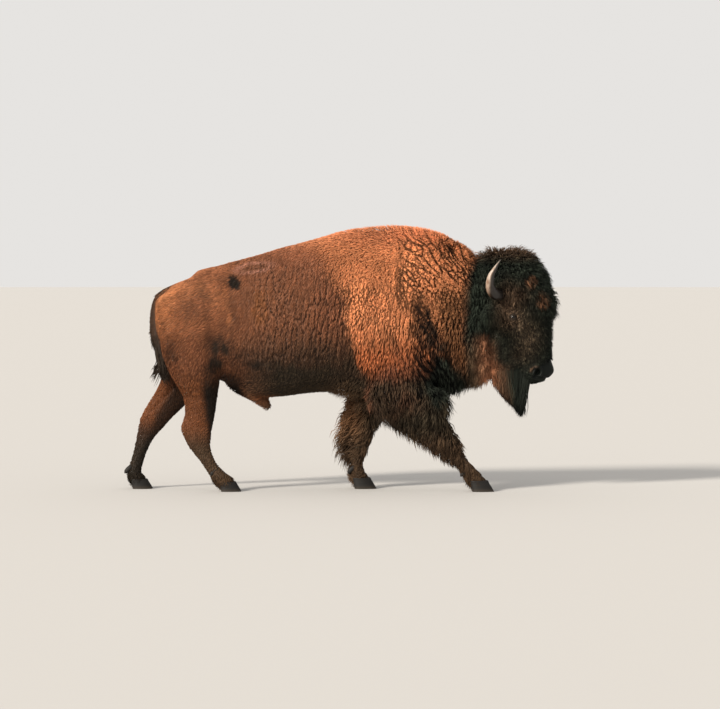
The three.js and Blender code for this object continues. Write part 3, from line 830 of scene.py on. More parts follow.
def markings(q):
    """The coat's colour at each point, in linear light."""
    m, c, on_right = both_sides(q), PALETTE, q[:, 1] < 0
    x, y, z = m.T
    flat = [1, 0, 1]
    patchy, fine = noise(q, (150, 150, 130), 31), noise(q, (40, 40, 60), 32)
    bent = m + shifted(q, 90, (33, 34), 0.022)
    torn = bent + shifted(q, (34, 60, 60), (36, 37), (0.030, 0.040))

    # rear: browner low down, paler along the back, with ochre areas on the rump and thigh
    amber = blob(torn, (-526, 330, 1245), (45, 300, 100)) * (0.8 + 0.5 * fine)
    low = ramp(z - 0.07 * patchy - 0.04 * fine, 1.11, 0.77)
    colour = painted(
        c["flank"],
        (c["back"], ramp(z + 0.04 * patchy, 1.28, 1.60) * ramp(x, -1.0, -0.5)),
        (c["rump"], ramp(x, -0.66, -0.84)),
        (c["ochre"], np.clip(spots(torn, OCHRE_AND_LIT_SPOTS) * (0.85 + 0.4 * patchy), 0, 1)),
        (c["amber"], np.clip(amber, 0, 0.8)),
        (c["dark"], ramp(patchy, 0.2, 0.8) * 0.22 * ramp(x, -0.1, -0.4) * ramp(z, 1.5, 1.3)),
        (c["belly"], low * ramp(x, -0.80, -0.62) ** 2 * (0.75 + 0.25 * ramp(x, -0.62, -0.40))),
        (c["back"], 0.85 * blob(torn, (-60, 330, 1200), (110, 300, 170))),
        (c["belly"] * [0.85, 1.08, 1.1], 0.5 * blob(torn, (-190, 330, 955), (210, 300, 110))),
    )
    mottled = noise(q, (30, 40, 36), 45) + 0.7 * noise(q, (14, 30, 30), 46)
    # painted shade in the groin, under the flank ahead of the hind legs
    groin_shade = ramp(z + 0.02 * fine, 0.80, 0.72) * ramp(x, -0.86, -0.80) * ramp(x, -0.62, -0.70)
    # painted shade in the furrow ahead of the far hind leg's tendon
    tendon = bell((bent - TENDON) @ ACROSS_TENDON, 0.012) * blob(m * flat, (-1205, 0, 610), (110, 1, 120))
    # a narrow strip of painted light down the ridge below the point of the hip
    ridge = spots(torn, [(1, (-752, 280, 1130), (16, 300, 75)), (0.8, (-755, 280, 1290), (14, 300, 80))])
    colour = painted(
        colour * (1 + 0.16 * mottled * ramp(x, -0.55, -0.75))[:, None],
        (c["flank"], 0.6 * blob(torn, (-665, 300, 830), (48, 300, 75))),
        (c["rust"] * [1.0, 0.7, 0.5], 0.8 * blob(torn, (-1130, 150, 980), (80, 300, 190))),
        (c["dark"], np.clip(spots(torn, FOLD_SHADE_SPOTS) * (0.9 + 0.4 * fine), 0, 0.95)),
        (c["dark"], groin_shade * ramp(y, 0.26, 0.20)),
        (c["dark"], 0.6 * tendon),
        (c["leg"], 0.8 * blob(m, (-530, 0, 610), (90, 120, 50))),
        (c["ochre"], 0.55 * ridge),
    )
    # an old scar on the loin: a pale ring, longer than high, round a darker middle
    ring = (bent - np.array([-0.573, 0, 1.499])) @ np.array([[0.98, 0, -0.2], [0, 0, 0], [0.2, 0, 0.98]])
    around = np.hypot(ring[:, 0] / 0.128, ring[:, 2] / 0.040)
    on_side = ramp(-q[:, 1], 0.05, 0.10)
    pale = 1.15 * bell(around - 0.95, 0.22) * (0.6 + 0.5 * fine)
    # painted shadow cast by the point of the hip into the hollow ahead of it
    hollow = inside(m + shifted(q, 30, (42, 43), 0.009), HIP_HOLLOW, 10)
    colour = painted(
        colour,
        (c["dark"], 0.28 * ramp(around, 0.9, 0.5) * on_side),
        (c["scar"], np.clip(pale, 0, 0.95) * on_side),
        (c["shadow"], 0.95 * hollow * ramp(y, 0.14, 0.18)),
    )

    # cape: crown, sunlit side, and the shaded locks towards the elbow and the armpit
    shaded = ramp(x + 0.02 * fine, 0.60, 0.72) * ramp(z, 1.45, 1.22)
    sunny = spots(m * flat, [(0.3, (540, 0, 1560), (190, 1, 150)), (0.18, (430, 0, 1400), (75, 1, 170))])
    sunny += 0.34 * bell(x - 0.12, 0.07) * ramp(z, 0.9, 1.1) * ramp(z, 1.6, 1.4)
    # painted light and shade on the cape: brighter on the sunny band and spots, darker over the shaded
    # front, with a faint random unevenness
    lit_and_shaded = 1 + 0.12 * noise(q, (70, 90, 90), 35) + sunny - shaded * (0.32 + 0.2 * ramp(z, 1.35, 1.05))
    cape = lit_and_shaded[:, None] * painted(
        c["cape"], (c["cape_crown"], ramp(z, 1.58, 1.74)), (c["cape_low"], ramp(z, 1.12, 0.84) * 0.75),
        (c["curls"], 0.85 * shaded),
    )
    # a painted shadow line along a fold of the lower cape
    gap = bell((bent - [0.354, 0, 0.985]) @ np.array([0.931, 0, 0.364]), 0.020)
    hem = spots(torn, [(0.85, (400, 200, 775), (230, 400, 80)), (0.35, (400, 200, 930), (60, 400, 70))])
    lit = noise(np.stack([x + 0.62 * z, y, z], -1), (13, 300, 130), 49)
    shade = wedge(bent) * (1.0 - 0.5 * ramp(lit, 0.25, 0.8) - 0.3 * ramp(z, 1.02, 0.88))
    shade = shade + 0.3 * blob(torn, (800, 200, 1655), (90, 500, 36))
    colour = painted(
        colour,
        (cape, cape_share(q)),
        (c["dark"], 0.45 * gap * blob(bent * flat, (354, 0, 985), (110, 1, 110))),
        (c["lobe"], np.clip(hem * (1 + 0.4 * fine), 0, 0.9)),
        (c["dark"], np.clip(shade * (0.9 + 0.5 * fine), 0, 0.94)),
    )

    # neck and throat, with a brighter fan down the cheek that is painted paler lower down, painted light on
    # the throat's underside
    edge = edge_at(MANE_EDGE, z)
    fan = bell(bent[:, 0] - 0.962 - 0.22 * (0.98 - z), 0.058) * ramp(z, 0.66, 0.74) * ramp(z, 1.08, 0.97)
    cheek = c["cheek"] * (0.85 + 0.8 * ramp(z, 0.96, 0.80))[:, None], np.clip(fan * (1 + 0.4 * fine), 0, 1)
    nape = painted(c["head"], (c["mane"], ramp(z + 0.04 * fine, 1.04, 0.86)), cheek)

    # legs: chaps in front, brown shanks behind, darker towards the hooves
    under = ramp(z, 0.78, 0.66) * ramp(x, 0.0, 0.1) * (1 - ramp(x, 0.76, 0.84))
    fore = ramp(z + 0.03 * fine, 0.81, 0.64) * ramp(x, -0.05, 0.05) * ramp(x, 0.86, 0.80)
    in_shade = ramp(x - 0.46 + 0.9 * (z - 0.68) + 0.02 * fine, -0.02, 0.14) * ramp(y, 0.28, 0.20)
    spot = (m - [0.290, 0, 0.632]) / [0.125, 1, 0.135]
    around, outside = np.hypot(spot[:, 0], spot[:, 2]), ramp(y, 0.16, 0.20)
    # the rosette's reddish rim, painted only on its upper rear side as the lit side
    rim = 0.4 * bell(around - 0.92, 0.24) * ramp(spot[:, 2] - 1.4 * spot[:, 0], -0.9, 0.3) * outside
    armpit = inside((bent + torn) / 2, ARMPIT, 22)
    hind = ramp(z, 0.86, 0.66) * ramp(x, -0.62, -0.7)
    near_front = ramp(x + 0.12 * (z - 0.65) + 0.012 * fine, -0.945, -0.885) * on_right * ramp(z, 0.28, 0.36)
    far_front = ramp(x - 0.55 * (z - 0.65) + 0.012 * fine, -1.21, -1.12)
    far_front = np.maximum(far_front, 0.8 * ramp(z, 0.50, 0.38))
    shaded_leg = np.minimum(near_front + 0.85 * far_front * ~on_right, 1)
    thigh_shade = 0.6 * ramp(z, 0.90, 0.82) * ramp(x, -0.93, -0.88) * ramp(x, -0.80, -0.84)
    brush = ramp(z, 1.14, 0.96)
    tail = ramp(x, -1.10, -1.16) * ramp(y, 0.034 + 0.06 * brush, 0.020 + 0.03 * brush) * ramp(z, 1.50, 1.36)
    tail = tail * ramp(x - 0.17 * ramp(z, 1.10, 0.86) - 0.06 * ramp(z, 1.28, 1.40), -1.16, -1.19)
    colour = painted(
        colour,
        (nape, ramp(x + 0.01 * fine, edge - 0.05, edge + 0.03)),
        (c["chaps"], under),
        (c["chaps"], fore),
        (c["lobe"], 0.42 * blob(torn * flat, (365, 0, 605), (150, 1, 95))),
        # the far foreleg's skirt, painted paler where the sun shines through it
        (c["elbow"], np.clip(1.45 * blob(m, (22, 200, 400), (110, 400, 195)), 0, 0.97)),
        (c["shadow"], 0.75 * fore * in_shade * ramp(x, 0.3, 0.36) * ramp(z, 0.42, 0.5)),
        (c["belly"], 0.75 * ramp(around, 1.1, 0.8) * outside),
        (c["lobe"], np.clip(rim * (1 + 0.6 * fine), 0, 0.6)),
        # painted shade in the armpit, darkest towards the back
        (c["armpit"] * (0.65 + 0.7 * ramp(x, 0.64, 0.72))[:, None], armpit),
        (c["leg"], hind),
        (c["shin"], ramp(z, 0.46, 0.26) * (1 - ramp(x, 1.0, 1.05))),
        (c["shadow"], 0.94 * np.maximum(hind * shaded_leg, near_front * thigh_shade)),
        (blend(c["tail"], c["shadow"], 0.7 * ramp(z, 1.08, 0.92)), tail),
    )

    # head
    tufts = patch(bent, (1277, 130, 1386), (42, 200, 46), 0.4)
    tufts = tufts + patch(bent, (1350, 110, 1272), (46, 200, 48), 0.4)
    brown = 0.5 * blob(m, (1165, 150, 1300), (100, 300, 75))
    brown = brown + 0.5 * ramp(z, 0.88, 0.80) * ramp(x, 1.19, 1.11)
    # a pale rim round the upper rear of the nostril, painted light
    rim = bell(np.hypot(x - 1.318, z - 0.794) - 0.037, 0.009)
    rim = rim * ramp(x - z, 0.528, 0.498) * ramp(z, 0.790, 0.808) * ramp(x, 1.2, 1.25)
    face = painted(
        c["head"],
        (c["rust"], np.clip(tufts * (0.65 + 1.1 * noise(q, 15, 39)), 0, 0.9)),
        (c["rust"] * [0.75, 0.72, 0.7], brown),
        (c["frizz"], 0.85 * frizz(q)),
        # the top of the mop is rusty, partly painted light on its backlit hair
        (c["rust"], 0.45 * ramp(z, 1.50, 1.62)),
        (c["frizz"] * 1.5, 0.9 * rim),
        cheek,
    )
    lids = ramp(np.hypot(x - EYE_X, z - EYE_Z), 0.032, 0.024) * ramp(y, 0.12, 0.14)
    colour = painted(colour, (face, on_head(q)), (c["shadow"], 0.7 * lids), (c["nose"], nose_pad(q)))
    streaks = noise(q, (16, 30, 70), 38)
    return colour * (1 + 0.10 * patchy + 0.12 * fine + 0.12 * streaks)[:, None]


# ---- Lie of the coat ----
def lie_of_coat(q, normal):
    """The way the hair runs at each point, along the skin.

    It runs back and down the trunk, straight down the flank, cape, neck, cheeks and legs, and
    away from the crown of the head on all sides.
    """
    x, z = q[:, 0], q[:, 2]
    out = np.sign(q[:, 1])
    from_crown = (q - [1.11, 0, 1.62]) * [1.0, 1.0, 0.6] + [0.05, 0, -0.12]
    from_eye = (q - [EYE_X, 0, EYE_Z]) * [1, 0, 1]
    round_eye = ramp(np.linalg.norm(from_eye, axis=1), 0.075, 0.035) * (np.abs(q[:, 1]) > 0.1)
    ear = ramp(np.abs(q[:, 1]), 0.21, 0.23) * ramp(z, 1.1, 1.15) * on_head(q + [0.05, 0, 0])
    from_lobe = unit(np.stack([x - 0.30, 0.2 * out, z - 0.70], -1))
    back = np.array([-1.0, 0.0, -0.45])
    way = painted(
        np.array([-0.30, 0.0, -1.0]),
        (back, ramp(x, -0.55, -0.85) * ramp(z, 0.85, 1.1)),
        (back, ramp(z, 1.45, 1.68) * ramp(x, 0.9, 0.7) * 0.8),
        (np.array([-1.0, 0.0, -0.3]), ramp(z, 0.80, 0.68) * ramp(x, -0.8, -0.6) * ramp(x, 0.3, 0.1)),
        (unit(from_crown), on_head(q) * ramp(z, 1.28, 1.42)),
        (np.stack([0.15 + 0 * x, 0.15 * out, -1 + 0 * x], -1),
         on_head(q) * ramp(z, 1.42, 1.28) * ramp(x, 1.08, 1.2)),
        (unit(from_eye + 1e-6), round_eye),
        (np.stack([-0.3 + 0 * x, out, -0.15 + 0 * x], -1), ear),
        (from_lobe, 0.8 * blob(both_sides(q), (285, 270, 650), (110, 150, 120))),
        (np.array([0.70, 0.0, -0.70]), blob(q * [1, 0, 1], (570, 0, 850), (140, 1, 100))),
    )
    way = way + 0.18 * np.stack([noise(q, 160, seed) for seed in (41, 42, 43)], -1)
    return unit(way - normal * np.sum(way * normal, -1, keepdims=True))


# ---- Locks ----
# A lock is a root point, rings of three points and a tip. For each ring: how far along the lock it
# is, and how wide, as shares.
SHORT = [(0.36, 1.0)]
MIDDLE = [(0.22, 0.9), (0.62, 0.8)]
LONG = [(0.1, 0.7), (0.28, 1.0), (0.46, 0.95), (0.64, 0.85), (0.82, 0.6)]
PATCH = 0.003  # each lock's patch on the bake's map
MARGIN = 0.01  # left free round the map
GROUND_GAP = 8 * MM  # no hair reaches lower
COLOUR_AT = 0.8  # how far towards its tip a lock takes the marking's colour
LOCKS_VARY = 0.10  # how far one lock's brightness strays from the next one's


def lock_faces(rings):
    """Triangles of one lock, its points numbered from the root through the rings to the tip."""
    j = np.arange(3)
    after = (j + 1) % 3
    faces = [np.stack([0 * j, 1 + j, 1 + after], -1)]
    for r in range(rings - 1):
        a, b = 1 + 3 * r, 4 + 3 * r
        faces += [np.stack([a + j, b + j, b + after], -1), np.stack([a + j, b + after, a + after], -1)]
    a, tip = 1 + 3 * (rings - 1), 1 + 3 * rings
    faces.append(np.stack([a + j, 0 * j + tip, a + after], -1))
    return np.vstack(faces)


class Skin:
    """The finished skin's triangles, for locks to grow on."""

    def __init__(self, mesh):
        mesh.calc_loop_triangles()
        corners = np.empty(len(mesh.loop_triangles) * 3, np.int32)
        mesh.loop_triangles.foreach_get("vertices", corners)
        self.corners = corners.reshape(-1, 3)
        self.points = points_of(mesh) - ZERO
        self.normals = normals_of(mesh)
        a, b, c = (self.points[self.corners[:, k]] for k in range(3))
        self.area = np.linalg.norm(np.cross(b - a, c - a), axis=1) / 2
        self.centre = (a + b + c) / 3
        self.facing = unit(np.cross(b - a, c - a))

    def roots(self, weight, count, rng):
        """Places and directions of `count` roots, spread over the skin in proportion to the
        weight at each triangle: equal steps of the summed area, each at random in its triangle."""
        total = np.cumsum(self.area * weight)
        step = (np.arange(count) + rng.random(count)) / count * total[-1]
        corners = self.corners[np.minimum(np.searchsorted(total, step), len(total) - 1)]
        u, v = rng.random((2, count))
        over = u + v > 1
        u, v = np.where(over, 1 - u, u), np.where(over, 1 - v, v)
        share = np.stack([1 - u - v, u, v], -1)[..., None]
        return (self.points[corners] * share).sum(1), unit((self.normals[corners] * share).sum(1))


def turned(way, normal, angle):
    """The directions `way` swung by an angle about the normal."""
    return unit(way * np.cos(angle)[:, None] + np.cross(way, normal) * np.sin(angle)[:, None])


def grow(name, material, weight, count, rings, shape, chart, seed):
    """One coat piece: `count` locks on the skin where weight is not 0.

    `shape(q, normal, way, depth, draw, rng)` gives, in mm, each lock's length, width, lift, fall and
    curl, the number of times it winds, the share `pull` by which it leans to its clump, the vector
    `to` that clump's middle, how blunt it ends, and its tone at root and tip; `draw` gives a random
    number between two values for each lock.
    A lock's middle line leaves the root along the lie of the coat, rises by its lift on an easing
    curve, falls by its fall with the square of the way along, and winds round itself by its curl.
    """
    rng = np.random.default_rng(seed)
    q, normal = skin.roots(weight, count, rng)
    way = lie_of_coat(q, normal)
    s = shape(q, normal, way, coat_depth(q, normal), lambda low, high: rng.uniform(low, high, count), rng)

    def each(key, usual=0.0):
        return np.broadcast_to(s.get(key, usual), count)[:, None]

    way = turned(s.get("way", way), normal, rng.normal(0, 1, count) * s["scatter"])
    side = unit(np.cross(way, normal))
    length, width, lift, fall, curl = (
        each(key)[..., None] * MM for key in ("length", "width", "lift", "fall", "curl")
    )
    phase = rng.uniform(0, TURN, count)[:, None, None]
    lean = s.get("to", np.zeros((count, 3)))
    lean = (lean - normal * np.sum(lean * normal, -1, keepdims=True)) * each("pull")
    along = np.array([0.0] + [at for at, _ in rings] + [1.0])
    t = (along + 0.42 * each("blunt") * (along > 0) * (along < 1))[..., None]
    n3, w3, s3 = normal[:, None], way[:, None], side[:, None]
    swing = TURN * each("winds", 1.0)[..., None] * t + phase
    line = q[:, None] + w3 * length * t + n3 * (lift * (2 * t - t * t) - 0.25 * width * (1 - t))
    line = line + lean[:, None] * t**1.5 - UP * fall * t * t
    line = line + (s3 * np.sin(swing) + n3 * np.cos(swing) * 0.6) * curl * t
    line[..., 2] = np.maximum(line[..., 2], GROUND_GAP)
    ring_width = np.array([wide for _, wide in rings])[None, :, None, None] * width[..., None] / 2
    angle = TURN * (np.arange(3) / 3 + 0.25)
    round_ = s3[:, None] * np.cos(angle)[:, None] + n3[:, None] * (0.75 * np.sin(angle))[:, None]
    body = line[:, 1:-1, None] + round_ * ring_width
    points = np.concatenate([line[:, :1], body.reshape(count, -1, 3), line[:, -1:]], 1)
    per = points.shape[1]
    faces = (np.arange(count) * per)[:, None, None] + lock_faces(len(rings))[None]
    mesh = mesh_of(name, (points + ZERO).reshape(-1, 3), faces.reshape(-1, 3))

    # colour: the markings where its tip is seen, darker where the lock leaves the skin, as painted shade
    # down among the hair
    times = [1] + [3] * len(rings) + [1]
    tone_at = np.repeat(t[..., 0], times, axis=1) ** 0.7
    tone = each("root_tone") + (each("tip_tone") - each("root_tone")) * tone_at
    own = markings(q + COLOUR_AT * (line[:, -1] - q)) * rng.normal(1, LOCKS_VARY, (count, 1))
    give_colour(mesh, "coat", (own[:, None] * tone[..., None]).reshape(-1, 3).clip(0, 1))

    # each lock is a small patch of the bake's map, at its root's place on the chart
    local_u = np.concatenate([[0.5], np.tile([0.5, 0.0, 1.0], len(rings)), [0.5]])
    local = np.stack([local_u, np.repeat(along, times)], -1)
    place = MARGIN + (1 - 2 * MARGIN - PATCH) * chart(q)
    uv = (place[:, None] + local[None] * PATCH).reshape(-1, 2)
    layer = mesh.uv_layers.new(name="OFBake")
    layer.uv.foreach_set("vector", uv[faces.ravel()].astype(np.float32).ravel())
    lock = piece(mesh, material)
    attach(lock, "root")
    return lock


def tube_chart(axis_x=None, axis_z=None, one_side=False):
    """An unwrap of a tube: the angle round its axis across, and the place along the axis up.

    The axis runs along x at height axis_z, or upright at axis_x. One side may fill the whole map.
    """

    def chart(q):
        if axis_z is not None:
            angle, along = np.arctan2(q[:, 1], q[:, 2] - axis_z), q[:, 0]
        else:
            angle, along = np.arctan2(q[:, 1], q[:, 0] - axis_x), q[:, 2]
        u = np.abs(angle) / math.pi if one_side else angle / TURN + 0.5
        low, high = along.min(), along.max()
        return np.stack([np.clip(u, 0, 1), (along - low) / max(high - low, 1e-6)], -1)

    return chart


def leg_chart(q):
    """The four legs side by side: each a tube opened along its own upright axis."""
    u, z = np.zeros(len(q)), q[:, 2]
    for place, leg in enumerate(("hind_right", "hind_left", "fore_right", "fore_left")):
        mine = ((q[:, 0] > -0.55) == leg.startswith("fore")) & ((q[:, 1] > 0) == leg.endswith("left"))
        rows = np.array(LEG_ROWS[leg])[::-1]
        ax, ay = (np.interp(z[mine] / MM, rows[:, 2], rows[:, k]) * MM for k in (0, 1))
        angle = np.arctan2(q[mine, 1] - ay, q[mine, 0] - ax)
        u[mine] = (place + 0.02 + 0.96 * (angle / TURN + 0.5)) / 4
    return np.stack([u, (z - z.min()) / max(z.max() - z.min(), 1e-6)], -1)


# ---- How deep the coat is ----
# [height, depth ahead of the skin, behind it, at its sides], in mm.
HEAD_DEPTH = np.array([
    [1640, 110, 60, 90],
    [1440, 112, 60, 82],
    [1350, 110, 60, 72],
    [1270, 114, 60, 52],
    [1205, 96, 60, 32],
    [1150, 60, 55, 28],
    [1080, 52, 50, 30],
    [1000, 38, 50, 26],
    [920, 24, 50, 18],
    [850, 9, 50, 12],
    [720, 7, 30, 10],
])
CROWN_DEPTH = 122  # where the mop's roots face straight up
FORE_DEPTH = {
    RIGHT: np.array([
        [800, 90, 80, 66],
        [680, 84, 88, 66],
        [610, 98, 90, 64],
        [555, 94, 92, 62],
        [440, 76, 84, 56],
        [340, 50, 72, 42],
        [262, 24, 46, 24],
        [195, 10, 18, 11],
        [60, 6, 8, 6],
    ]),
    LEFT: np.array([
        [800, 60, 60, 66],
        [670, 55, 70, 66],
        [540, 36, 158, 60],
        [420, 20, 198, 58],
        [320, 12, 172, 40],
        [235, 12, 84, 26],
        [180, 9, 20, 11],
        [60, 6, 8, 6],
    ]),
}


def depth_at(table, q, normal):
    """A depth from a table of heights, mixed from its three sides as the normal faces them."""
    z = q[:, 2] / MM
    rows = table[np.argsort(table[:, 0])]
    ahead, behind, beside = (np.interp(z, rows[:, 0], rows[:, k]) for k in (1, 2, 3))
    nx, ny = normal[:, 0], normal[:, 1]
    flat = np.maximum(nx**2 + ny**2, 1e-6)
    return (np.where(nx > 0, ahead, behind) * nx**2 + beside * ny**2) / flat


def trunk_depth(q, normal):
    x, up = q[:, 0] / MM, normal[:, 2]
    top, beside, keel = (np.interp(x, DEPTH_X, d) for d in (DEPTH_TOP, DEPTH_SIDE, DEPTH_KEEL))
    return beside + (np.where(up > 0, top, keel) - beside) * up**2


def coat_depth(q, normal):
    """How far the coat's tips stand off the skin, in mm."""
    depth = trunk_depth(q, normal)
    fore = ramp(q[:, 2], 0.78, 0.68) * ramp(q[:, 0], -0.08, 0.02)
    right, left = (depth_at(FORE_DEPTH[side], q, normal) for side in (RIGHT, LEFT))
    depth = depth + (np.where(q[:, 1] < 0, right, left) - depth) * fore * ramp(q[:, 0], 1.1, 1.0)
    crown = depth_at(HEAD_DEPTH, q, normal)
    crown = crown + (CROWN_DEPTH - crown) * np.clip(normal[:, 2], 0, 1) ** 2 * ramp(q[:, 2], 1.4, 1.5)
    return depth + (crown - depth) * on_head(q)


# ---- Where each piece of the coat grows ----
SKIN_TONE = 0.55  # the hide lies in the shade of its hair
LEG_TOP = 0.66
skin_object = make_skin()
skin = Skin(skin_object.data)
at = skin.centre
give_colour(skin_object.data, "coat", (markings(skin.points) * SKIN_TONE).clip(0, 1))


def calm_part(q):
    """The part of the cape behind the crown of the hump, where its wool lies smooth."""
    return ramp(q[:, 2], 1.32, 1.50) * ramp(q[:, 0], 0.46, 0.28)


def regions(q, facing):
    """How densely each part of the coat grows at each place, from 0 to 1."""
    x, y, z = q[:, 0], np.abs(q[:, 1]), q[:, 2]
    wobble = 0.04 * noise(q, 110, 51)
    head = on_head(q) > 0.5
    ear = (y > 0.205) & (z > 1.12) & (z < 1.27) & (x > 0.94) & (x < 1.08)
    tail = (x < -1.225 + 0.11 * ramp(z, 1.10, 0.86)) & (y < 0.045)
    fore = (z < LEG_TOP) & (x > -0.1) & (x < 1.1)
    hind = (z < LEG_TOP) & (x < -0.7)
    bare = (nose_pad(q) > 0.5) | (np.hypot((x - EYE_X) / 1.4, z - EYE_Z) < 0.0165) & (y > 0.1)
    trunk = ~(head | ear | tail | fore | hind)
    nape = head & ~ear & (x < 1.05) & (z < 1.5)
    mop = head & ~ear & ~nape & (z > 1.215)
    mane = ramp(x + wobble, 0.84, 0.92)
    neck = trunk * mane + nape
    cape = trunk * (1 - mane) * past_cape_edge(q, 0.6)
    ragged = 0.12 * noise(q, (70, 200, 140), 52) + 0.14 * ramp(x, 0.25, 0.6)
    hanging = ramp(z + wobble + ragged, 1.20, 1.12)
    coronet = ramp(z, 0.12, 0.08)
    return {
        "ears": ear, "tail": tail, "neck": neck, "mop": mop,
        "chaps": fore * (1 + 0.8 * ramp(z, 0.30, 0.22) + 1.2 * coronet),
        "shanks": hind * (1 + 2 * coronet),
        "cape": cape * (1 - hanging) * (1 - 0.45 * calm_part(q)) * (0.8 + 0.5 * ramp(x, 0.30, 0.46)),
        "cape_low": cape * hanging,
        "flank": trunk * (1 - past_cape_edge(q, 0.6)),
        "face": head & ~ear & ~nape & ~mop & ~bare,
        "beard": head * ramp(x + wobble, 1.30, 1.23) * (z < 0.90) * (facing[:, 2] < 0.2),
    }


GROWS = regions(at, skin.facing)


def cape_net(q, dark, calm):
    """How far each place lies in a crack of the cape's wool, and the number of its own plate.

    Behind the shoulder upright lines part small curls; the front half has a net of slanting and
    upright lines; a long parting runs down behind the shoulder, and strands cross the wedge.
    """
    x, z = q[:, 0], q[:, 2]
    wobble = 0.05 * noise(q, 130, 61)
    front = ramp(x + 1.2 * wobble, 0.30, 0.46)
    upright, own = cracks(q, (36, 150), 71, 0.08, 14.5)
    curls, _ = cracks(q, (26, 70), 171, 0.12, 9)
    slanting, _ = cracks(q, (48, 170), 81, -0.85, 16)
    small, _ = cracks(q, (33, 45), 181, -0.5, 13.5)
    strands, _ = cracks(q, (32, 190), 271, -0.5, 30, 0.04)
    line = np.interp(z, [1.20, 1.35, 1.45, 1.57], [0.437, 0.405, 0.391, 0.371])
    aside = np.abs(x - line + 0.010 * noise(q, (60, 300, 60), 63))
    parting = ramp(aside, 0.011, 0.004)
    parting = np.maximum(parting, ramp(np.abs(aside - 0.022), 0.009, 0.003) * ramp(z, 1.42, 1.36))
    parting = 0.9 * parting * ramp(z, 1.17, 1.22) * ramp(z, 1.60, 1.52)
    fade = (0.75 + 0.6 * noise(q, 80, 62)).clip(0, 1)
    crest = ramp(z + wobble, 1.76, 1.62)
    tall = np.maximum(0.8 * ramp(x, 0.56, 0.46) * ramp(z, 1.6, 1.5), ramp(z + wobble, 1.30, 1.15))
    net = np.maximum.reduce([
        slanting * ramp(z, 1.15, 1.35) * (0.35 + 0.65 * crest),
        0.95 * small * fade * crest * ramp(z, 1.05, 1.3),
        upright * tall,
    ])
    crack = (1 - front) * np.maximum(0.9 * upright * fade, 0.8 * curls) + front * net
    crack = np.maximum.reduce([crack * (1 + 0.3 * dark), 0.85 * strands * dark, parting])
    crack = np.clip(crack, 0, 1) * (1 - 0.92 * calm)
    return np.maximum(crack, curls * ramp(x, 0.60, 0.68) * ramp(z, 1.42, 1.28)), own


def underside(normal):
    """How far a place faces down."""
    return np.clip(-normal[:, 2], 0, 1)


def cape_locks(q, normal, way, depth, draw, rng):
    """Dense wool that cracks part into plates. Where a lock's tip would lie over a crack it stays
    low and is painted dark with the crack's shade, and its root is painted in shade where it lies in one."""
    calm = calm_part(q + 0.05 * noise(q, 130, 61)[:, None] * [1, 0, 1])
    dark = wedge(q)
    length = (22 + 11 * calm) * draw(0.8, 1.3)
    way = turned(way, normal, rng.normal(0, 0.3, len(q)))
    crack, own = cape_net(q + way * (0.9 * length * MM)[:, None], dark, calm)
    beneath, _ = cape_net(q + way * (0.45 * length * MM)[:, None], dark, calm)
    # painted shade: the plates darken in the dark wedge, over the front of the cape and along its edge by
    # the mane
    plates = 1 + 0.25 * (1 - calm) - dark * (0.12 + 0.43 * ramp(q[:, 2], 1.27, 0.95))
    plates = plates - 0.24 * blob(q * [1, 0, 1], (650, 0, 1250), (140, 1, 170))
    plates = plates - 0.22 * ramp(q[:, 0], 0.72, 0.82) * ramp(q[:, 2], 1.40, 1.25)
    upward = np.clip(normal[:, 2], 0, 1) ** 2
    low = 1 - 0.55 * np.maximum(crack, 0.6 * beneath) * (1 - 0.7 * upward)
    return dict(
        way=way, length=length * (1 - 0.3 * crack), width=draw(4.5, 7) + 1.2 * (1 - calm),
        blunt=0.4 * (1 - calm) * ramp(q[:, 0], 0.86, 0.80),
        lift=depth * draw(0.86, 0.98) * low + 19 * upward * ramp(q[:, 0], 0.1, 0.6), fall=3.0,
        curl=draw(0, 2.5), scatter=0.0, root_tone=0.55 * plates * (1 - 0.92 * beneath),
        tip_tone=(1.14 + 0.16 * own) * plates * (1 - 0.94 * crack),
    )


def cape_low_locks(q, normal, way, depth, draw, rng):
    """The lower cape: longer hanging ropes with the gaps between them painted in shade."""
    length = draw(34, 66)
    way = turned(way, normal, rng.normal(0, 0.16, len(q)))
    tip = q + way * (0.6 * length * MM)[:, None]
    dark = wedge(tip)
    ropes, own = cracks(tip, (26, 130), 91, -0.1, 12)
    small, _ = cracks(tip, (14, 70), 191, -0.15, 5)
    strands, _ = cracks(tip, (32, 190), 271, -0.5, 30, 0.04)
    crack = np.maximum.reduce([0.75 * ropes, 0.5 * small, strands * dark])
    under = underside(normal)
    return dict(
        way=unit(way + 0.9 * under[:, None] * DOWN), length=length, width=draw(5.5, 9),
        lift=depth * draw(0.72, 1.0) * (1 - 0.5 * crack), fall=8.0, curl=draw(2, 5), scatter=0.0,
        root_tone=0.52 * (1 - 0.88 * crack) * (1 - 0.3 * dark),
        tip_tone=(1.2 + 0.24 * own) * (1 - 0.92 * crack) * (1 - 0.1 * dark),
    )


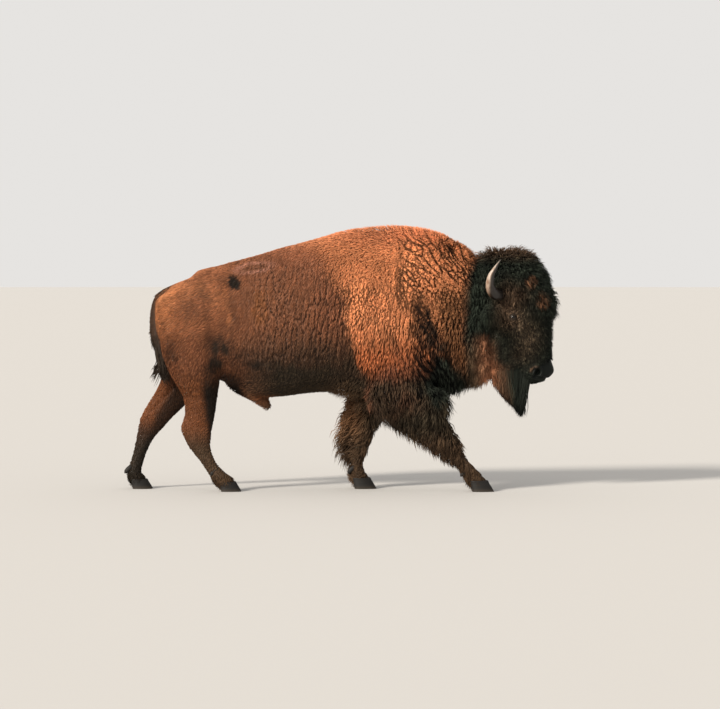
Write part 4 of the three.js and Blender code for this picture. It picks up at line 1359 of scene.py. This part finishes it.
def flank_locks(q, normal, way, depth, draw, rng):
    """Short flat wool, lower in the creases of the hide and in small cracks between clumps, which are
    painted in shade; rough on the loin.
    """
    rough = patch(both_sides(q), (-610, 150, 1530), (150, 200, 50), 0.4)
    length = draw(18, 30) * (1 + 0.5 * ramp(q[:, 0], -0.50, -0.75) + 0.2 * ramp(q[:, 0], -0.6, 0.0))
    way = turned(way, normal, rng.normal(0, 1, len(q)) * (0.22 + 0.5 * rough))
    tip = q + way * (0.8 * length * MM)[:, None]
    small = clumps(tip, (17, 30, 26), 107)
    fleck, _ = cracks(tip, (24, 48), 127, 0.3, 10)
    fleck = fleck * (0.4 + 0.5 * noise(q, 100, 128)).clip(0, 1)
    crack = np.clip(np.maximum(wrinkles(tip), fleck) + 0.6 * rough * ramp(small[1], 0.6, 0.95), 0, 1)
    return dict(
        way=way, length=length, width=draw(4.5, 6.5), lift=depth * draw(0.55, 0.95) * (1 - 0.7 * crack),
        fall=2.0, curl=draw(0, 2.5) * (1 + 2 * rough), to=small[0], pull=0.2 + 0.3 * rough, scatter=0.0,
        root_tone=0.66 * (1 - 0.8 * crack), tip_tone=(1.16 + 0.16 * small[2]) * (1 - 0.88 * crack),
    )


def neck_locks(q, normal, way, depth, draw, rng):
    """Long hanging mane: ropes that part over the throat and end in a fringe of points."""
    to, edge, own = clumps(q, (30, 60, 110), 111)
    gap = ramp(edge, 0.5, 0.95)
    clear = 0.4 + 0.6 * clear_of_eye(q, 0.06, 0.16)
    under = underside(normal)
    return dict(
        way=unit(way + 0.8 * under[:, None] * DOWN), length=draw(42, 82) * clear, width=draw(6, 9.5),
        lift=depth * draw(0.55, 0.92) * (1 - 0.4 * gap), fall=14 + 10 * under, curl=draw(2, 8), to=to,
        # the gaps between clumps are painted in shade
        pull=0.35, scatter=0.25, root_tone=0.5 * (1 - 0.3 * gap),
        tip_tone=(draw(0.75, 1.2) + 0.3 * ramp(q[:, 2], 1.10, 0.95)) * (1 + 0.25 * own) * (1 - 0.4 * gap),
    )


def mop_locks(q, normal, way, depth, draw, rng):
    """The curly mop: corkscrew locks that stand up and fall over on all sides."""
    to, edge, own = clumps(q, (36, 36, 46), 121)
    gap = ramp(edge, 0.5, 0.95)
    clear = 0.3 + 0.7 * clear_of_eye(q, 0.05, 0.15)
    return dict(
        length=draw(36, 76) * clear, width=draw(5, 8.5),
        lift=depth * draw(0.62, 1.10) * (1 - 0.25 * gap) * (0.6 + 0.4 * clear), fall=14.0 * clear,
        curl=draw(3, 10) * clear, winds=draw(0.8, 1.6), to=to, pull=0.45 * clear, scatter=0.6,
        root_tone=0.4,
        # painted shade in the gaps between clumps, and one lock in ten painted bright as a glint
        tip_tone=(1 - 0.6 * gap) * (
            0.8 + (0.6 + 1.6 * frizz(q)) * own**2 + 1.5 * (rng.random(len(q)) < 0.1)),
    )


def face_locks(q, normal, way, depth, draw, rng):
    """Crisp frizzy hair, longer up the nose towards the mop, shortest round the eyes and lips."""
    eye = clear_of_eye(q, 0.030, 0.085)
    size = (0.30 + 0.70 * eye) * (0.34 + 0.66 * ramp(q[:, 2], 0.80, 1.05))
    to, edge, own = clumps(q, (26, 30, 32), 131)
    gap = ramp(edge, 0.55, 0.9)
    glints = (rng.random(len(q)) < 0.24) * (1.2 + 5.0 * frizz(q))
    return dict(
        length=draw(20, 40) * size, width=draw(4, 6.5) * (0.6 + 0.4 * size),
        lift=depth * draw(0.5, 1.05) * (0.25 + 0.75 * eye), fall=5.0 * size, curl=6 * size, to=to,
        pull=0.5, scatter=0.7, root_tone=0.45,
        # painted shade in the gaps between clumps; the glints are painted highlights
        tip_tone=(0.65 + 0.8 * own**2 + glints) * (1 - 0.6 * gap),
    )


def beard_locks(q, normal, way, depth, draw, rng):
    """The beard: locks from the whole jaw that run together to one point below the chin."""
    x = q[:, 0] / MM
    # the tips gather round x = 1212 and end on or above the beard's lower edge, a straight line
    tip_x = 1212 + (x - 1205) * np.where(x > 1205, 0.22, draw(0.45, 1.0))
    line = 722 - (tip_x - 1020) * 1.11 - 5
    tip_z = line + draw(0, 1) ** 1.5 * 170
    tip_z = np.minimum(tip_z, q[:, 2] / MM - 30)
    share = np.clip((q[:, 2] / MM - tip_z) / 400, 0, 1)
    tip_y = q[:, 1] / MM * (1 - 0.95 * np.sqrt(share)) + rng.normal(0, 5, len(q))
    tip = np.stack([tip_x, tip_y, tip_z], -1) * MM
    reach = tip - q
    brown = ramp(x, 1200, 1050)
    return dict(
        way=unit(reach), length=np.linalg.norm(reach, axis=1) / MM, width=draw(6, 10),
        lift=16 * draw(0, 1), curl=draw(5, 17), winds=draw(0.8, 2.2), scatter=0.03, root_tone=0.4,
        tip_tone=(draw(0.5, 1.0) + 0.6 * brown * rng.random(len(q))) * (0.4 + 0.6 * ramp(x, 1215, 1130)),
    )


def chaps_locks(q, normal, way, depth, draw, rng):
    """Shaggy chaps: long locks that leave the foreleg and hang down round it, frayed at the ends."""
    to, edge, own = clumps(q, (32, 32, 100), 141)
    gap = ramp(edge, 0.5, 0.95)
    deep = np.minimum(depth, 70) / 70
    low = 8 * ramp(q[:, 2], 0.13, 0.08)
    under = underside(normal)
    return dict(
        way=unit(way + 0.9 * under[:, None] * DOWN),
        length=(22 + 0.86 * np.minimum(depth, 120) + 2 * low) * draw(0.7, 1.25),
        width=4 + deep * draw(3, 6.5), lift=(depth + low) * draw(0.35, 1.0) * (1 - 0.3 * gap),
        fall=0.28 * depth, curl=0.10 * depth, to=to, pull=0.6, scatter=0.25, root_tone=0.5,
        # the gaps between clumps are painted in shade
        tip_tone=(0.95 + 0.45 * own) * (1 - 0.4 * gap),
    )


def leg_locks(q, normal, way, depth, draw, rng):
    """Short smooth hair down the legs, a little longer over the coronet."""
    low = ramp(q[:, 2], 0.13, 0.08)
    return dict(
        length=draw(14, 24) * (1 + 1.2 * low), width=draw(4.5, 7), lift=draw(2, 6) * (1 + 1.5 * low),
        scatter=0.2, root_tone=0.7, tip_tone=draw(0.95, 1.15),
    )


def tail_locks(q, normal, way, depth, draw, rng):
    """The tail: short on the dock, and a long brush towards its end with a few stray wisps."""
    brush = ramp(q[:, 2], 1.12, 0.98)
    stray = (rng.random(len(q)) < 0.10) * ramp(q[:, 2], 0.92, 0.86)
    outward = normal * np.where(normal[:, 0] < 0, 0.0, 0.2)[:, None]
    spread = unit(DOWN + outward + AHEAD * 0.42 + np.array([-0.9, 0, 0.2]) * stray[:, None])
    return dict(
        way=unit(blend(way + DOWN * 0.4, spread, brush)), length=24 + brush * draw(40, 110),
        width=4.5 + 4 * brush, lift=4 + np.where(normal[:, 0] < 0, 3, 12) * brush, curl=5 * brush,
        scatter=0.12, root_tone=0.65, tip_tone=1.1,
    )


def ear_locks(q, normal, way, depth, draw, rng):
    """Tousled hair that stands out of the ear and droops."""
    return dict(
        length=draw(26, 74), width=draw(4.5, 7.5), lift=draw(6, 30), fall=24.0, curl=7.0, scatter=0.8,
        root_tone=0.4, tip_tone=draw(0.5, 1.2) + 1.4 * (rng.random(len(q)) < 0.2),
    )


# ---- Finishes ----
def put(tree, kind, settings=(), links=(), **fields):
    """Adds one node: `settings` are its input values, `links` its inputs fed by other sockets."""
    made = tree.nodes.new(kind)
    for name, value in fields.items():
        setattr(made, name, value)
    for name, value in dict(settings).items():
        made.inputs[name].default_value = value
    for name, source in dict(links).items():
        tree.links.new(source, made.inputs[name])
    return made


def finish(name, build, **shader):
    """A material: `build` gives its colour, roughness and bump sockets from its node tree."""
    material = bpy.data.materials.new(name)
    material.use_nodes = True
    tree = material.node_tree
    tree.nodes.clear()
    surface = put(tree, "ShaderNodeBsdfPrincipled", shader, build(tree))
    put(tree, "ShaderNodeOutputMaterial", links={"Surface": surface.outputs["BSDF"]})
    return material


def own_colour(tree):
    return {"Base Color": put(tree, "ShaderNodeAttribute", attribute_name="coat").outputs["Color"]}


def placed(tree):
    return {"Vector": put(tree, "ShaderNodeTexCoord").outputs["Object"]}


def spread(tree, size, detail):
    """Noise on the animal's own coordinates; `size` in mm along x, y and z for one period."""
    scaled = put(tree, "ShaderNodeMapping", {"Scale": [1000 / s for s in size]}, placed(tree))
    settings = {"Scale": 1.0, "Detail": detail, "Roughness": 0.6}
    return put(tree, "ShaderNodeTexNoise", settings, {"Vector": scaled.outputs["Vector"]}).outputs["Fac"]


def grained(tree, fac, low, high, height, depth, strength):
    """The piece's own colour made darker or paler by a factor that runs from low to high, and a
    bump `depth` mm deep."""
    limits = {"From Min": 0.3, "From Max": 0.7, "To Min": low, "To Max": high}
    share = put(tree, "ShaderNodeMapRange", limits, {"Value": fac}).outputs["Result"]
    links = {0: own_colour(tree)["Base Color"], 1: share}
    colour = put(tree, "ShaderNodeVectorMath", links=links, operation="MULTIPLY")
    bump = put(tree, "ShaderNodeBump", {"Distance": depth * MM, "Strength": strength}, {"Height": height})
    return {"Base Color": colour.outputs["Vector"], "Normal": bump.outputs["Normal"]}


def streaked(size, detail, low, high, depth, strength):
    """A look whose colour and bump follow one noise."""

    def build(tree):
        fac = spread(tree, size, detail)
        return grained(tree, fac, low, high, fac, depth, strength)

    return build


def pebbled(tree):
    """Nose leather: a grain of 4.5 mm pebbles, a little coarser than real so that it shows."""
    settings = {"Scale": 1 / (4.5 * MM)}
    pebbles = put(tree, "ShaderNodeTexVoronoi", settings, placed(tree), feature="DISTANCE_TO_EDGE")
    return grained(tree, spread(tree, (30, 30, 30), 3.0), 0.7, 1.5, pebbles.outputs["Distance"], 1.0, 0.5)


SHINE = "Specular IOR Level"
# Sun-bleached wool scatters light softly and has hardly any shine; its fibre is 3 mm, drawn coarse.
wool = finish("woolly coat", streaked((3, 3, 9), 3.0, 0.78, 1.2, 1.2, 0.6), Roughness=0.8, **{SHINE: 0.2})
# Hair too short to stand out makes matt streaks that run down the body.
streaks = streaked((7, 5, 26), 4.0, 0.7, 1.2, 4, 0.8)
hide = finish("short-haired hide", streaks, Roughness=0.75, **{SHINE: 0.25})
# The muzzle's black leather is moist, but its pebbles break up the shine.
nose = finish("wet nose leather", pebbled, Roughness=0.5, **{SHINE: 0.12})
# Horn has fine streaks along it and is worn and polished by rubbing.
horn = finish("polished horn", streaked((5, 5, 60), 5.0, 0.72, 1.22, 0.8, 0.5), Roughness=0.38)
# Hoof horn has upright fibres and is scuffed dull by the ground.
hoof = finish("hoof horn", streaked((3, 3, 40), 3.0, 0.7, 1.3, 0.7, 0.6), Roughness=0.65, **{SHINE: 0.3})
# The tear film gives the eye a sharp glint; the IOR is the cornea's.
tears = {"Coat Weight": 0.15, "Coat Roughness": 0.1}
eye = finish("wet eye", own_colour, Roughness=0.16, IOR=1.376, **tears)

skin_object.data.materials.append(hide)
skin_object.data.materials.append(nose)
skin_object.data.polygons.foreach_set("material_index", (nose_pad(at) > 0.5).astype(np.int32))
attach(skin_object, "root")
SEPARATE = ("horn_", "eye_", "hoof_", "dewclaw_")
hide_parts(*(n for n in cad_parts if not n.startswith(SEPARATE)))
BOTH, ON_RIGHT, ON_LEFT = 1.0, (at[:, 1] < 0).astype(float), (at[:, 1] >= 0).astype(float)
TRUNK_AXIS, HEAD_AXIS, EAR_AXIS, TAIL_AXIS = 1.1, 1.17, 1.0, -1.25
trunk_half, trunk_whole = tube_chart(axis_z=TRUNK_AXIS, one_side=True), tube_chart(axis_z=TRUNK_AXIS)
head_chart, ear_chart, tail_chart = (tube_chart(axis_x=at_x) for at_x in (HEAD_AXIS, EAR_AXIS, TAIL_AXIS))
# name, slot, region, side, locks, rings, shape, chart
PIECES = [
    ("cape_right", "cape", "cape", ON_RIGHT, 26000, SHORT, cape_locks, trunk_half),
    ("cape_left", "cape", "cape", ON_LEFT, 26000, SHORT, cape_locks, trunk_half),
    ("shoulder_right", "cape", "cape_low", ON_RIGHT, 7200, MIDDLE, cape_low_locks, trunk_half),
    ("shoulder_left", "cape", "cape_low", ON_LEFT, 7200, MIDDLE, cape_low_locks, trunk_half),
    ("flank_right", "flank", "flank", ON_RIGHT, 20400, SHORT, flank_locks, trunk_half),
    ("flank_left", "flank", "flank", ON_LEFT, 20400, SHORT, flank_locks, trunk_half),
    ("neck", "mane", "neck", BOTH, 12000, MIDDLE, neck_locks, trunk_whole),
    ("mop", "mane", "mop", BOTH, 13300, MIDDLE, mop_locks, head_chart),
    ("face", "mane", "face", BOTH, 19500, SHORT, face_locks, head_chart),
    ("beard", "mane", "beard", BOTH, 3900, LONG, beard_locks, head_chart),
    ("chaps", "mane", "chaps", BOTH, 10800, MIDDLE, chaps_locks, leg_chart),
    ("shanks", "leg", "shanks", BOTH, 9000, SHORT, leg_locks, leg_chart),
    ("tail", "mane", "tail", BOTH, 2600, MIDDLE, tail_locks, tail_chart),
    ("ears", "mane", "ears", BOTH, 2800, SHORT, ear_locks, ear_chart),
]
for seed, (name, slot, region, side, count, rings, shape, chart) in enumerate(PIECES, 1):
    coat = grow("coat_" + name, wool, GROWS[region] * side, count, rings, shape, chart, seed)


# ---- Horns, eyes and hooves ----
def shown_as(name, node, points, faces, colours, material):
    """A finished piece that stands for one CAD node; `colours` is one for all or one for each point."""
    mesh = mesh_of(name, points + ZERO, faces)
    give_colour(mesh, "coat", np.broadcast_to(colours, points.shape))
    made = piece(mesh, material)
    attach(made, "root")
    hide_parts(node)


# [x, y, z, radius] along the horn's middle, from inside the skull to the tip
HORN_PATH = [
    [1125, 140, 1342, 48],
    [1076, 200, 1324, 43],
    [1030, 262, 1328, 39],
    [1000, 306, 1374, 32],
    [1004, 326, 1439, 23],
    [1035, 324, 1500, 12.5],
    [1070, 308, 1554, 1.5],
]
# The horn's colour from its base to its tip, and where along it each is reached.
HORN_COLOURS = np.array([linear(c) for c in ("#2e2723", "#6a4c38", "#978373", "#b3a699", "#6f645b")])
HORN_PLACES = [0.15, 0.35, 0.55, 0.8, 1]


def horn_piece(side, word):
    """Rings of the horn's path, each pushed in and out by growth rings that fade to the tip, and
    by grooves that run along it."""
    sides = 40
    rows = through([[x, side * y, z, r] for x, y, z, r in HORN_PATH], 12)
    centre, radius = rows[:, :3] * MM, rows[:, 3] * MM
    path = unit(np.gradient(centre, axis=0))
    up = unit(UP - path * (path @ UP)[:, None])
    over = np.cross(path, up)
    along = np.linspace(0, 1, len(rows))
    angle = TURN * np.arange(sides) / sides
    rings = 0.022 * np.sin(TURN * 15 * along**0.9) * (1 - along) ** 1.3
    grooves = 0.010 * np.cos(9 * angle) + 0.006 * np.cos(17 * angle + 1)
    r = radius[:, None] * (1 + rings[:, None] + grooves[None] * (1 - along[:, None]))
    grid = centre[:, None] + up[:, None] * (r * np.cos(angle))[..., None]
    grid = grid + over[:, None] * (0.94 * r * np.sin(angle))[..., None]
    points, faces = closed(grid, centre[0], centre[-1])
    row = np.append(np.repeat(np.arange(len(rows)), sides), [0, len(rows) - 1])
    marks = np.stack([np.interp(along[row], HORN_PLACES, colour) for colour in HORN_COLOURS.T], -1)
    # paler on the back and the outside, partly wear and partly painted light; painted shade darkens the
    # side that faces the mop, and more of the horn towards its base
    ahead = (points - centre[row])[:, 0] / np.append(radius[row[:-2]], [1, 1])
    worn_and_lit = ramp(ahead + 0.65 * ramp(along[row], 0.55, 0.30), 0.22, -0.42)
    stained = 0.9 * ramp(noise(points, (18, 18, 44), 47) + 0.9 * noise(points, (6, 6, 20), 48), 0.0, 0.5)
    marks = blend(marks * 0.07, marks, worn_and_lit)
    marks = blend(marks, marks * [0.50, 0.36, 0.27], stained)
    shown_as(f"horn_shell_{word}", f"horn_{word}", points, faces, marks, horn)


def eye_piece(side, word):
    """A ball with a cornea that bulges 1.2 mm; a level, oblong pupil in a dark brown iris."""
    angle = math.pi * np.linspace(0.01, 0.99, 40)
    turn = TURN * np.arange(48) / 48
    bulge = 1.2 * MM
    r = (EYE_RADIUS - bulge + bulge * bell(angle, 0.55))[:, None]
    a, out = r * np.sin(angle)[:, None], r * np.cos(angle)[:, None] + 0 * turn
    look = unit(np.array([0.22, side, -0.02]))
    level = unit(np.cross(look, UP))
    above = np.cross(level, look)
    place = np.array([EYE_X, side * EYE_Y, EYE_Z])
    grid = out[..., None] * look + (a * np.cos(turn))[..., None] * level
    grid = grid + (a * np.sin(turn))[..., None] * above
    points, faces = closed(place + grid, place + look * r[0, 0], place - look * r[-1, 0])
    flat = points - place
    x, z, front = flat @ level / MM, flat @ above / MM, flat @ look > 0
    white, iris, pupil = linear("#2c1d13"), linear("#140b06"), linear("#040303")
    marks = painted(
        white, (iris, ramp(np.hypot(x, z), 13.6, 12.6) * front),
        (pupil, ramp(np.hypot(x / 7.0, z / 3.6), 1.08, 0.95) * front),
    )
    shown_as(f"eyeball_{word}", f"eye_{word}", points, faces, marks, eye)


FEET = {"fore": (148, 33, 26, 74), "hind": (134, 29, 24, 66)}  # length, half width, lean, height


def claw_piece(leg, word):
    """One claw of a foot: sections that lean forward and widen to a flat sole, with a pointed toe,
    a soft swelling at the coronet and faint growth rings."""
    node = f"hoof_{leg}_{word}"
    length, half, lean, height = FEET[leg[:4]]
    toe = (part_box(node)[1][0] - ZERO[0]) / MM
    y = (middle(node) - ZERO)[1] / MM
    step = np.linspace(0, 1, 25)
    scale = 0.76 + 0.24 * step**0.8 + 0.035 * bell(step - 0.08, 0.08)
    scale = scale + 0.007 * np.sin(TURN * 5 * step) * (1 - step)
    ahead, behind, same = 0.56 * length, 0.44 * length, 0 * step
    rows = np.stack([
        toe - ahead - lean * (1 - step), y + same, height * (1 - step), ahead * scale, behind * scale,
        half * scale, 1.75 + same, 2.5 + same,
    ], -1)
    points, faces = loft(rows, AHEAD, DOWN, sides=48, steps=1)
    dark, dusty = linear("#120f0c"), linear("#3c3329")
    marks = blend(dark, dusty, 0.5 * ramp(points[:, 2], 0.03, 0.0))
    shown_as(f"claw_{leg}_{word}", node, points, faces, marks, hoof)


def dewclaw_piece(leg, word):
    """A short blunt cone at the back of the fetlock, smooth and round."""
    node = f"dewclaw_{leg}_{word}"
    x, y, z = (middle(node) - ZERO) / MM
    side = np.sign(y) if word == "outer" else -np.sign(y)
    rows = [
        [x + 24, y - side * 4, z + 22, 9, 9, 8],
        [x + 14, y - side * 2, z + 16, 15, 15, 13],
        [x - 2, y, z + 3, 17, 17, 15],
        [x - 16, y + side, z - 12, 15, 15, 13],
        [x - 24, y + side, z - 24, 8, 8, 7],
        [x - 25, y + side, z - 28, 2, 2, 2],
    ]
    points, faces = loft(round_rows(rows), AHEAD, sides=24, steps=5)
    shown_as(f"dewclaw_shell_{leg}_{word}", node, points, faces, linear("#181410"), hoof)


for side, word in SIDES:
    horn_piece(side, word)
    eye_piece(side, word)
for leg in LEGS:
    for word in ("outer", "inner"):
        claw_piece(leg, word)
        dewclaw_piece(leg, word)


# ---- Floor, light and camera ----
def placed_object(data, direction, location=(0, 0, 0)):
    """A light or camera in the scene that looks against `direction`."""
    made = bpy.data.objects.new(data.name, data)
    bpy.context.scene.collection.objects.link(made)
    made.location = location
    made.rotation_euler = Vector(direction).to_track_quat("Z", "Y").to_euler()
    return made


FLOOR_RADIUS = 400
floor_mesh = bpy.data.meshes.new("floor")
turn = TURN * np.arange(128) / 128
rim = FLOOR_RADIUS * np.stack([np.cos(turn), np.sin(turn), 0 * turn], -1)
floor_mesh.from_pydata(rim.tolist(), [], [list(range(len(rim)))])
# Painted studio floor, matt.
pale = {"Base Color": (0.50, 0.485, 0.465, 1), "Roughness": 0.9}
floor = piece(floor_mesh, finish("pale floor", lambda tree: {}, **pale))

sun = bpy.data.lights.new("key", "SUN")
sun.energy = 5.2
sun.angle = math.radians(11)
sun.color = (1.0, 0.93, 0.83)
TO_SUN = (-0.64, -0.62, 0.45)
placed_object(sun, TO_SUN)

world = bpy.data.worlds.new("studio")
bpy.context.scene.world = world
world.use_nodes = True
sky = world.node_tree.nodes["Background"]
sky.inputs["Color"].default_value = (0.93, 0.91, 0.885, 1)
sky.inputs["Strength"].default_value = 0.85

DISTANCE, WIDTH_SEEN, ELEVATION = 20.0, 4.86, math.radians(1.5)
LOOK_AT = ZERO + np.array([0.135, 0, 0.915])
camera = bpy.data.cameras.new("camera")
camera.sensor_width = 36
camera.lens = camera.sensor_width * DISTANCE / WIDTH_SEEN
camera.clip_end = 1000
back = np.array([0, -math.cos(ELEVATION), math.sin(ELEVATION)])
bpy.context.scene.camera = placed_object(camera, back, LOOK_AT + back * DISTANCE)
bpy.context.scene.view_settings.view_transform = "Standard"
